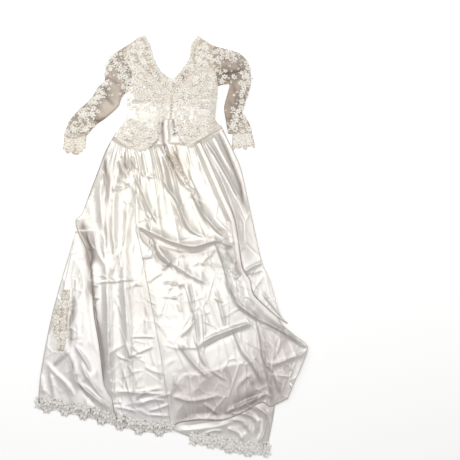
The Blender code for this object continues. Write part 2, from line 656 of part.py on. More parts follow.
def build_sleeve(side, head, outer, inner, end, rows):
    """Upper and under layer of one sleeve, from the armhole to the cuff."""
    columns = len(head) - 1
    inner_full = [head[-1]] + inner
    places = even(rows)
    if side == "left":
        grid = patch(head, end, outer, inner_full, columns, places)
    else:
        grid = patch(backwards(head), end, inner_full, outer, columns, places)

    def level(i, j, x, y):
        u = i / columns
        v = places[j]
        round_off = (4.0 * u * (1.0 - u))**0.6 if 0.0 < u < 1.0 else 0.0
        head_rise = smooth_step(v, -0.01, 0.12)
        puff = SLEEVE_PUFF * (1.0 - 0.55 * smooth_step(v, 0.1, 0.5))
        wave = 1.0 + 0.30 * math.sin(19.0 * v + 3.5 * u + (0.0 if side == "left" else 1.6))
        return LAYER_2 + LACE + puff * wave * round_off * head_rise
    wall("sleeve_%s_upper" % side, grid, heights_over(grid, level),
         heights_over(grid, flat_level(LAYER_2)), LACE, SHEER_NET)

    rim = [line[0] for line in grid] + grid[-1][1:-1] + [line[-1] for line in reversed(grid)]
    rim += list(reversed(grid[0][1:-1]))
    slab("sleeve_%s_under" % side, inset_outline(rim, 0.5), 0.0, LACE, SHEER_NET)


def lace_strip(name, seam, units, reach, heights, hole, swing=0.0, swing_units=4):
    """A scalloped strip of lace with one open loop in each unit.

    seam is the edge that it is sewn on by, with the strip on its right-hand side; reach is the
    depth of a scallop; heights are the lowest and highest z; hole is the open share of a unit.
    swing makes every group of scallops deeper at its middle.
    """
    low, high = heights
    top = seam if len(seam) == 2 * units + 1 else spread(seam, 2 * units)
    rim = []
    for k, here in enumerate(top):
        a = top[max(0, k - 1)]
        b = top[min(2 * units, k + 1)]
        run = math.dist(a, b)
        normal = ((b[1] - a[1]) / run, -(b[0] - a[0]) / run)
        scallop = 1.0 if k % 2 else 0.80
        depth = reach * scallop * (1.0 + swing * math.cos(math.pi * (k - units) / swing_units))
        rim.append((here[0] + normal[0] * depth, here[1] + normal[1] * depth))
    middle = [((top[2 * k][0] + rim[2 * k][0]) / 2, (top[2 * k][1] + rim[2 * k][1]) / 2)
              for k in range(units + 1)]
    flat = top + rim + middle
    rim_start = len(top)
    middle_start = rim_start + len(rim)
    faces = []
    ring_faces = []
    for k in range(units):
        ring = [2 * k, 2 * k + 1, 2 * k + 2, middle_start + k + 1, rim_start + 2 * k + 2,
                rim_start + 2 * k + 1, rim_start + 2 * k, middle_start + k]
        cx = sum(flat[index][0] for index in ring) / 8
        cy = sum(flat[index][1] for index in ring) / 8
        first = len(flat)
        for index in ring:
            flat.append((cx + (flat[index][0] - cx) * hole, cy + (flat[index][1] - cy) * hole))
        for n in range(8):
            m = (n + 1) % 8
            faces.append((ring[n], ring[m], first + m, first + n))
            ring_faces.append((first + n, first + m))
    for k in range(2 * units):
        ring_faces.append((k, k + 1))
        ring_faces.append((rim_start + k, rim_start + k + 1))
    for k, pin in ((0, 0), (2 * units, units)):
        ring_faces.append((k, middle_start + pin))
        ring_faces.append((middle_start + pin, rim_start + k))
    count = len(flat)
    vertices = [(x, y, high) for x, y in flat] + [(x, y, low) for x, y in flat]
    solid_faces = list(faces)
    solid_faces += [tuple(index + count for index in reversed(face)) for face in faces]
    solid_faces += [(a, b, b + count, a + count) for a, b in ring_faces]
    return finish_object(name, vertices, solid_faces, IVORY_LACE)


def between(points, row, column):
    """A point on a panel's own faces, between its corners where row or column has a fraction."""
    a, b = min(int(row), len(points) - 2), min(int(column), len(points[0]) - 2)
    t, w = row - a, column - b
    near, far = points[a][b], points[a + 1][b + 1]
    if t >= w:
        weights = ((1 - t, near), (t - w, points[a + 1][b]), (w, far))
    else:
        weights = ((1 - w, near), (w - t, points[a][b + 1]), (t, far))
    return tuple(sum(weight * corner[axis] for weight, corner in weights) for axis in range(3))


def overlay(name, panel, columns, rows, scalloped_row):
    """Raised lace on a bodice back: the panel's own points between two columns and two rows,
    moved out, with a scalloped edge along the first (0) or the last (1) row."""
    points = [[(x, y, bodice_top(x, y)) for x, y in line] for line in panel]
    grid = []
    tops = []
    steps_down = (rows[1] - rows[0]) * LACE_SHARE
    steps_across = (columns[1] - columns[0]) * LACE_SHARE
    for j in range(steps_down + 1):
        line = []
        levels = []
        for i in range(steps_across + 1):
            row = rows[0] + j / LACE_SHARE
            if j == steps_down * scalloped_row and i % 2:
                row += (0.45 if scalloped_row == 0 else -0.45) / LACE_SHARE
            x, y, z = between(points, row, columns[0] + i / LACE_SHARE)
            inner = 0 < i < steps_across and 0 < j < steps_down
            rosette = ROSETTE_HEIGHT if inner and (i + 2 * j) % 3 == 0 else 0.0
            line.append((x, y))
            levels.append(z + LACE_LIFT + LACE + rosette)
        grid.append(line)
        tops.append(levels)
    inside = [[between(points, rows[0] + j / LACE_SHARE, columns[0] + i / LACE_SHARE)[2] + LACE_LIFT
               for i in range(steps_across + 1)] for j in range(steps_down + 1)]
    wall(name, grid, tops, inside, 4.0 * LACE, IVORY_LACE)


def build_lace(left, right):
    """Lace on the bodice, the skirt, the hems and the cuffs."""
    overlay("bodice_lace_left", left, (1, 9), (0, 4), 1)
    overlay("bodice_lace_right", right, (1, 9), (0, 5), 1)
    overlay("basque_lace_left", left, (0, 9), (9, 12), 0)
    overlay("basque_lace_right", right, (1, 10), (9, 12), 0)
    on_floor = (0.0, CLOTH)
    on_gore = (LAYER_2 + CLOTH + GAP, LAYER_2 + CLOTH + GAP + LACE)
    lace_strip("hem_lace_left", HEM_SEAM_LEFT, 24, 30.0, on_floor, 0.42, 0.2)
    hem_seam = [(x, y + UNDER_INSET - 0.6) for x, y in backwards(front_hem()[2:])]
    lace_strip("hem_lace_right", hem_seam, HEM_UNITS_RIGHT - 1, 24.0, on_floor, 0.42, 0.2)
    lace_strip("cuff_lace_left", CUFF_SEAM_LEFT, 5, 76.0, on_floor, 0.30, 0.17, 5)
    lace_strip("cuff_lace_right", CUFF_SEAM_RIGHT, 5, 80.0, on_floor, 0.30, 0.08, 2)
    lace_strip("skirt_lace_motif", MOTIF_SEAM, 8, 46.0, on_gore, 0.35, 0.12)
    lace_strip("lace_tail", TAIL_SEAM, 5, 20.0, on_gore, 0.40, 0.15)


BUTTON_PITCH = 17.0
BUTTON_RADIUS = 5.5
BUTTON_HEIGHT = 5.0


def build_buttons():
    """A row of covered buttons on the centre seam, each a low dome."""
    for number in range(8):
        y = 148.0 - number * BUTTON_PITCH
        low = max(bodice_top(-5.0, y + BUTTON_RADIUS), bodice_top(-5.0, y - BUTTON_RADIUS)) + GAP
        vertices = []
        for ring_radius, ring_height in ((0.75, 0.0), (1.0, 0.35), (0.62, 0.9)):
            for k in range(8):
                angle = 2.0 * math.pi * (k + 0.5) / 8
                vertices.append((-5.0 + BUTTON_RADIUS * ring_radius * math.cos(angle),
                                 y + BUTTON_RADIUS * ring_radius * math.sin(angle),
                                 low + BUTTON_HEIGHT * ring_height))
        vertices.append((-5.0, y, low + BUTTON_HEIGHT))
        faces = [tuple(range(7, -1, -1))]
        for ring in (0, 8):
            faces += [(ring + k, ring + (k + 1) % 8, ring + 8 + (k + 1) % 8, ring + 8 + k) for k in range(8)]
        faces += [(16 + k, 16 + (k + 1) % 8, 24) for k in range(8)]
        finish_object("button_%d" % (number + 1), vertices, faces, BUTTON_SATIN)


def main():
    """Build the dress from its under layer up."""
    clear_scene()
    build_under_layer()
    build_gores()
    left, right, head_left, head_right = build_bodice()
    build_sleeve("left", head_left, SLEEVE_LEFT_OUTER, SLEEVE_LEFT_INNER, SLEEVE_LEFT_END, 14)
    build_sleeve("right", head_right, SLEEVE_RIGHT_OUTER, SLEEVE_RIGHT_INNER, SLEEVE_RIGHT_END, 13)
    build_lace(left, right)
    build_buttons()


main()
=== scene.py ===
"""Looks of a wedding dress laid flat on its front: satin, net, lace, pearls and covered buttons.

Tables are in millimetres in the garment frame: origin at the centre of the waist, +X to the right,
+Y towards the neckline. Meshes are in metres in the part's own frame, as the solids are.
"""
import logging
import math
from dataclasses import dataclass, field
from enum import Enum
from typing import Sequence

import bpy
import numpy as np
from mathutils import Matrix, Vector


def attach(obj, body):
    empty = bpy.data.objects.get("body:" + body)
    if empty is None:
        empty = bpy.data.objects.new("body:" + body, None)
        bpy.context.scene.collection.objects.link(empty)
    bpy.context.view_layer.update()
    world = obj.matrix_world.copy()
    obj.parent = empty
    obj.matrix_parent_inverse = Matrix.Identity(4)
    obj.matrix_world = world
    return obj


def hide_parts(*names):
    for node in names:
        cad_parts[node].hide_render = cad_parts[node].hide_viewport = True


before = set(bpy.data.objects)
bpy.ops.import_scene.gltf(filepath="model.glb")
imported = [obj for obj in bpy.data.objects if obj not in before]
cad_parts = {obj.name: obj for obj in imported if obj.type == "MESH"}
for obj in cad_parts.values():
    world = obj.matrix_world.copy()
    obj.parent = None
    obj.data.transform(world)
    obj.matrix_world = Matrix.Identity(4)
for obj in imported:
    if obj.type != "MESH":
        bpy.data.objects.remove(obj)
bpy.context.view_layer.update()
LOG = logging.getLogger("wedding_dress")

Array = np.ndarray
Object, Mesh, Material = bpy.types.Object, bpy.types.Mesh, bpy.types.Material
Node, NodeTree, Socket = bpy.types.Node, bpy.types.NodeTree, bpy.types.NodeSocket
Pair, Triple = tuple[float, float], tuple[float, float, float]
Path = Sequence[Pair]
Edges = tuple[Path, Path, Path, Path]
Value = bool | float | Sequence[float] | Socket

MM = 0.001
CENTRE = np.array((40.5, -508.2))   # middle of the outline in the garment frame
CLOTH = 1.5                         # wall of satin with its lining
LACE = 1.2                          # wall of a lace piece
LAYER_2 = 1.8                       # lowest point of a panel that lies on the under layer
LAYER_3 = 3.6                       # lowest point of a panel that lies on a second layer
CURVE_STEPS = 12
CURVE_SLACK = 0.4
FOLD_DEPTH = 1.35
BODY = "root"
NODE_TURN = 6.2832                  # a full turn, for the node trees

SHOULDER_LEFT = ((-244, 444), (-206, 474), (-172, 493))
SHOULDER_RIGHT = ((130, 486), (164, 466), (199, 438))
ARMHOLE_LEFT = ((-244, 444), (-263, 402), (-256, 354))
ARMHOLE_RIGHT = ((199, 438), (200, 366), (216, 284))
YOKE_NECK_LEFT = ((-172, 493), (-143, 432), (-122, 358), (-90, 280), (-48, 222), (-5, 162))
YOKE_NECK_RIGHT = ((130, 486), (104, 432), (96, 352), (134, 312))
YOKE_SEAM_LEFT = ((-256, 354), (-176, 324), (-112, 260), (-58, 208), (-5, 162))
V_EDGE_RIGHT = ((-5, 162), (40, 202), (84, 254), (134, 312))
YOKE_SEAM_RIGHT = ((134, 312), (176, 300), (216, 284))
ILLUSION_TOP = ((-4, 222), (48, 280), (91, 346))
ILLUSION_FOOT = ((-5, 162), (40, 202), (84, 254), (129, 306))
ILLUSION_CENTRE = ((-4, 222), (-5, 162))
ILLUSION_SIDE = ((91, 346), (129, 306))
SIDE_LEFT = ((-256, 354), (-220, 295), (-213, 237), (-228, 168), (-225, 22), (-251, -33), (-282, -82))
SIDE_RIGHT = ((216, 284), (227, 202), (222, 122), (213, 22), (228, -11), (248, -38))
CENTRE_BACK = ((-5, 162), (-5, 80), (-5, 12))
LOBE_LEFT = (
    (-282, -82), (-246, -114), (-200, -142), (-151, -152), (-103, -138), (-66, -98), (-52, -33), (-46, 4),
    (-5, 12),
)
LOBE_RIGHT = (
    (-5, 12), (22, 0), (29, -62), (52, -110), (92, -134), (132, -114), (170, -92), (208, -64), (248, -38),
)
PLACKET_TOP = ((-72, 26), (-5, 30), (46, 26))
PLACKET_LEFT = ((-72, 26), (-78, -60), (-96, -122))
PLACKET_RIGHT = ((46, 26), (50, -60), (64, -108))
PLACKET_FOOT = ((-96, -122), (-20, -121), (40, -118), (64, -108))
SHOULDER_CUT_LEFT = ((-244, 440), (-206, 470), (-170, 490))
SHOULDER_CUT_RIGHT = ((128, 484), (164, 464), (199, 436))
NECK_SEAM_LEFT = ((-170, 490), (-141, 434), (-120, 360), (-80, 280), (-20, 228))
NECK_SEAM_RIGHT = ((128, 484), (102, 436), (92, 360), (56, 290), (10, 228))
NECK_POINT = (-5, 216)
WAIST_LEFT = ((-276, -62), (-240, -92), (-205, -116))
WAIST_BACK = ((-205, -116), (-150, -130), (-90, -112), (-20, -98), (30, -96), (92, -112), (150, -82))
WAIST_RIGHT = ((132, -92), (170, -72), (208, -44), (244, -20))
SEAM_BACK = (
    (-205, -116), (-168, -276), (-148, -536), (-134, -590), (-88, -788), (-26, -1048), (20, -1270),
    (42, -1406),
)
OUTLINE_UPPER_LEFT = (
    (-276, -62), (-316, -152), (-340, -236), (-374, -358), (-406, -476), (-432, -508), (-416, -568),
    (-362, -672), (-336, -788), (-316, -932), (-282, -1072), (-248, -1234), (-210, -1298), (-188, -1376),
)
LOWER_LAP = OUTLINE_UPPER_LEFT[5:]
TUCK_LEFT = (
    (-400, -572), (-336, -672), (-310, -788), (-290, -932), (-256, -1072), (-222, -1234), (-190, -1374),
)
OUTLINE_SIDE_LEFT = (
    (-428, -562), (-456, -706), (-480, -828), (-500, -944), (-516, -1094), (-524, -1218), (-520, -1310),
)
SIDE_GORE_TOP = ((-428, -562), (-400, -572))
HEM_SIDE_LEFT = ((-520, -1310), (-448, -1316), (-364, -1332), (-292, -1346), (-190, -1374))
HEM_BACK_LEFT = ((-188, -1376), (-108, -1392), (-44, -1402), (42, -1406))
LAP_RIGHT = (
    (132, -92), (176, -192), (250, -372), (308, -508), (340, -724), (374, -788), (392, -856), (464, -928),
    (520, -972),
)
OUTLINE_RIGHT = (
    (244, -20), (278, -98), (336, -230), (364, -358), (396, -520), (434, -706), (468, -788), (508, -936),
    (540, -980),
)
LAP_RIGHT_END = ((520, -972), (540, -980))
TRAIN_RIGHT = (
    (150, -82), (194, -200), (268, -374), (326, -508), (358, -722), (392, -780), (410, -845), (480, -915),
    (514, -980), (566, -1026), (626, -1078), (602, -1152), (568, -1218), (532, -1294),
)
TRAIN_FOLD_EDGE = (
    (42, -1406), (82, -1387), (164, -1377), (256, -1379), (330, -1354), (420, -1310), (456, -1326),
    (532, -1294),
)
FRONT_WAIST = ((-282, -86), (-200, -140), (-5, -104), (90, -134), (246, -42))
FRONT_EDGE_RIGHT = ((505, -936), (516, -1000), (500, -1150), (478, -1329), (440, -1490))
FRONT_HEM_RIGHT = ((440, -1490), (328, -1484), (226, -1460), (136, -1446))
FRONT_HEM_STEP = ((54, -1421), (50, -1399))
FRONT_HEM_LEFT = (
    (50, -1399), (-44, -1400), (-108, -1392), (-190, -1374), (-292, -1346), (-364, -1332), (-448, -1316),
    (-520, -1310),
)
FLAP_TOP = ((46, -1400), (84, -1372), (150, -1342), (300, -1310), (420, -1270), (480, -1290))
FLAP_LEFT = ((46, -1400), (46, -1406), (50, -1413))
FLAP_FOOT = ((50, -1413), (90, -1430), (136, -1446), (226, -1460), (328, -1484), (438, -1488))
FLAP_RIGHT = ((480, -1290), (464, -1390), (438, -1488))
HEM_SEAM_LEFT = (
    (-518, -1308), (-448, -1314), (-364, -1330), (-292, -1344), (-190, -1372), (-108, -1390), (-44, -1400),
    (34, -1400),
)
HEM_SEAM_RIGHT = ((136, -1443), (226, -1457), (328, -1481), (440, -1487))
MOTIF_SEAM = ((-430, -832), (-424, -900), (-424, -980), (-424, -1050), (-430, -1100))
TAIL_SEAM = ((-20, -152), (24, -204), (72, -276), (98, -336))
TURNED_UNDER = (
    (520, -996), (566, -1030), (622, -1078), (598, -1150), (564, -1216), (528, -1288), (486, -1308),
    (502, -1150),
)
SLEEVE_LEFT_OUTER = (
    (-244, 444), (-294, 402), (-327, 360), (-344, 307), (-344, 237), (-382, 191), (-412, 128), (-476, 55),
    (-512, -4), (-528, -76),
)
SLEEVE_LEFT_INNER = ((-257, 139), (-273, 83), (-329, 22), (-376, -16), (-416, -72))
SLEEVE_LEFT_END = ((-528, -76), (-478, -90), (-416, -72))
SLEEVE_RIGHT_INNER = ((284, 214), (273, 151), (258, 78), (268, 0), (278, -64))
SLEEVE_RIGHT_OUTER = (
    (199, 438), (277, 414), (340, 390), (381, 337), (395, 260), (389, 191), (363, 106), (348, 50),
    (382, -5), (396, -56),
)
SLEEVE_RIGHT_END = ((278, -64), (336, -68), (396, -56))
CUFF_SEAM_LEFT = ((-526, -76.8), (-478, -90.8), (-418, -72.8))
CUFF_SEAM_RIGHT = ((302, -66.4), (340, -68.6), (395, -56.5))


def turns(count: int) -> list[float]:
    """Angles of a full turn in even steps."""
    return [2.0 * math.pi * k / count for k in range(count)]


def polar(radius: float, angle: float) -> Pair:
    """The point at a radius and an angle."""
    return radius * math.cos(angle), radius * math.sin(angle)


def smooth_step(value: Array, low: float, high: float) -> Array:
    """0 below low, 1 above high, with a soft rise between.

    Args:
        value: Where the step is read.
        low: The foot of the step.
        high: The head of the step.

    Returns:
        The height of the step at each value.
    """
    t = np.clip((value - low) / (high - low), 0.0, 1.0)
    return t * t * (3.0 - 2.0 * t)


def smooth_curve(points: Path, places: Array) -> Array:
    """Points of the smooth curve through an edge.

    Args:
        points: The edge's own points.
        places: Shares of the curve's length, from 0 to 1.

    Returns:
        One row of x and y for each place.
    """
    knots = np.array(points, float)
    last = len(knots) - 1
    t = np.arange(CURVE_STEPS) / CURVE_STEPS
    runs = []
    for index in range(last):
        start, end = knots[index], knots[index + 1]
        slope_in = (end - knots[max(0, index - 1)]) * CURVE_SLACK
        slope_out = (knots[min(last, index + 2)] - start) * CURVE_SLACK
        runs.append(np.outer(2 * t**3 - 3 * t**2 + 1, start) + np.outer(t**3 - 2 * t**2 + t, slope_in)
                    + np.outer(3 * t**2 - 2 * t**3, end) + np.outer(t**3 - t**2, slope_out))
    fine = np.vstack(runs + [knots[-1:]])
    reach = np.concatenate([[0.0], np.cumsum(np.hypot(*np.diff(fine, axis=0).T))])
    return np.column_stack([np.interp(places, reach / reach[-1], fine[:, axis]) for axis in (0, 1)])


def path_length(points: Path) -> float:
    """Length of a path's straight runs, in its own units."""
    return float(np.hypot(*np.diff(np.array(points, float), axis=0).T).sum())


def coons_patch(top: Path, bottom: Path, left: Path, right: Path, columns: int, rows: int) -> Array:
    """Grid of points between four edges.

    Args:
        top: Edge from left to right at the head.
        bottom: Edge from left to right at the foot.
        left: Edge from the head to the foot.
        right: Edge from the head to the foot.
        columns: Cells across.
        rows: Cells down.

    Returns:
        An array of rows + 1 by columns + 1 points.
    """
    across = np.linspace(0.0, 1.0, columns + 1)
    down = np.linspace(0.0, 1.0, rows + 1)
    upper, lower = smooth_curve(top, across), smooth_curve(bottom, across)
    first, last = smooth_curve(left, down), smooth_curve(right, down)
    u, v = across[None, :, None], down[:, None, None]
    grid = (1 - v) * upper[None] + v * lower[None] + (1 - u) * first[:, None] + u * last[:, None]
    return grid - ((1 - u) * (1 - v) * upper[0] + u * (1 - v) * upper[-1]
                   + (1 - u) * v * lower[0] + u * v * lower[-1])


def to_model(xy: Array, z: Array) -> Array:
    """Garment points and heights in millimetres, as rows of metres in the part's frame."""
    flat = (xy.reshape(-1, 2) - CENTRE) * MM
    return np.column_stack([flat, z.reshape(-1) * MM])


class Noise:
    """Smooth noise from -1 to 1 on a square lattice, with a fixed seed."""

    SIZE = 64

    def __init__(self, seed: int) -> None:
        """Fill the lattice from the seed."""
        self.lattice = np.random.default_rng(seed).uniform(-1.0, 1.0, (self.SIZE, self.SIZE))

    def at(self, x: Array, y: Array) -> Array:
        """The noise at points.

        Args:
            x: Their places across, in lattice cells.
            y: Their places up.

        Returns:
            The noise at each.
        """
        i, j = np.floor(x).astype(int), np.floor(y).astype(int)
        s, t = smooth_step(x - i, 0.0, 1.0), smooth_step(y - j, 0.0, 1.0)
        near, far = i % self.SIZE, (i + 1) % self.SIZE
        low, high = j % self.SIZE, (j + 1) % self.SIZE
        grid = self.lattice
        return ((1 - s) * (1 - t) * grid[low, near] + s * (1 - t) * grid[low, far]
                + (1 - s) * t * grid[high, near] + s * t * grid[high, far])


@dataclass(frozen=True)
class Crease:
    """One crease along a smooth path, drawn downwards or to the right.

    height is below zero for a trough. near is its reach on the left or lower side of the path, far
    on the right or upper side. shade is painted shade along it, from 0 to 1.
    """

    path: Path
    height: float
    near: float
    far: float
    shade: float = 0.0

    def press(self, xy: Array, rise: Array, shade: Array) -> None:
        """Add this crease to a cloth's heights and painted shade.

        Args:
            xy: The cloth's points in millimetres.
            rise: Its heights, changed in place.
            shade: Its painted shade, changed in place.
        """
        count = max(5, int(path_length(self.path) / 22))
        line = smooth_curve(self.path, np.linspace(0.0, 1.0, count + 1))
        reach = 3.0 * max(self.near, self.far)
        low, high = line.min(axis=0) - reach, line.max(axis=0) + reach
        found = np.all((xy > low) & (xy < high), axis=-1)
        points = xy[found]
        best = np.full(len(points), 1e9)
        side = np.zeros(len(points))
        along = np.zeros(len(points))
        for index in range(count):
            run = line[index + 1] - line[index]
            offset = points - line[index]
            t = np.clip(offset @ run / (run @ run), 0.0, 1.0)
            offset = offset - t[:, None] * run
            distance = np.hypot(offset[:, 0], offset[:, 1])
            closer = distance < best
            best = np.where(closer, distance, best)
            side = np.where(closer, run[0] * offset[:, 1] - run[1] * offset[:, 0], side)
            along = np.where(closer, (index + t) / count, along)
        width = np.where(side < 0.0, self.near, self.far)
        taper = smooth_step(np.minimum(along, 1.0 - along), -0.06, 0.2)
        profile = taper * np.exp(-(best / width)**1.6)
        rise[found] += self.height * profile
        if self.shade:
            # painted shade along the crease line
            shade[found] += self.shade * taper * np.exp(-(best / (0.8 * width))**2)


@dataclass(frozen=True)
class Cast:
    """A soft patch over the cloth that tints its colour and adds painted shade, such as the painted mauve of
    a stretch that lies in shade.
    """

    x: float
    y: float
    reach_x: float
    reach_y: float
    colour: Triple
    shade: float = 0.0

    def tint(self, xy: Array, cast: Array, shade: Array) -> None:
        """Multiply the cloth's colour by the patch's, and add its painted shade.

        Args:
            xy: The cloth's points in millimetres.
            cast: Its colour, changed in place.
            shade: Its painted shade, changed in place.
        """
        spread = ((xy[..., 0] - self.x) / self.reach_x)**2 + ((xy[..., 1] - self.y) / self.reach_y)**2
        share = np.exp(-spread**1.5)
        # the patch's colour, darker where it stands for painted shade, and its painted shade
        cast *= 1.0 - share[..., None] * (1.0 - np.array(self.colour))
        shade += self.shade * share


def table(kind: type, *rows: tuple) -> tuple:
    """The creases or casts that rows of their values stand for."""
    return tuple(kind(*values) for values in rows)


class Border(Enum):
    """How an edge of a piece of cloth ends."""

    SEAM = "sewn to its neighbour, with a shallow groove"
    FOLDED = "a folded edge or hem that rounds down to what it lies on"
    TUCKED = "flat, because it runs under another piece"


MAIN_FOLDS = table(Crease,
    (((-278, -150), (-318, -340), (-300, -560)), 12 * FOLD_DEPTH, 22, 22),
    (((-300, -560), (-262, -790), (-225, -1180)), 9 * FOLD_DEPTH, 26, 26),
    (((-240, -170), (-254, -430), (-236, -700)), 7 * FOLD_DEPTH, 16, 18),
    (((-190, -330), (-186, -700), (-150, -1120)), 7 * FOLD_DEPTH, 22, 22),
)
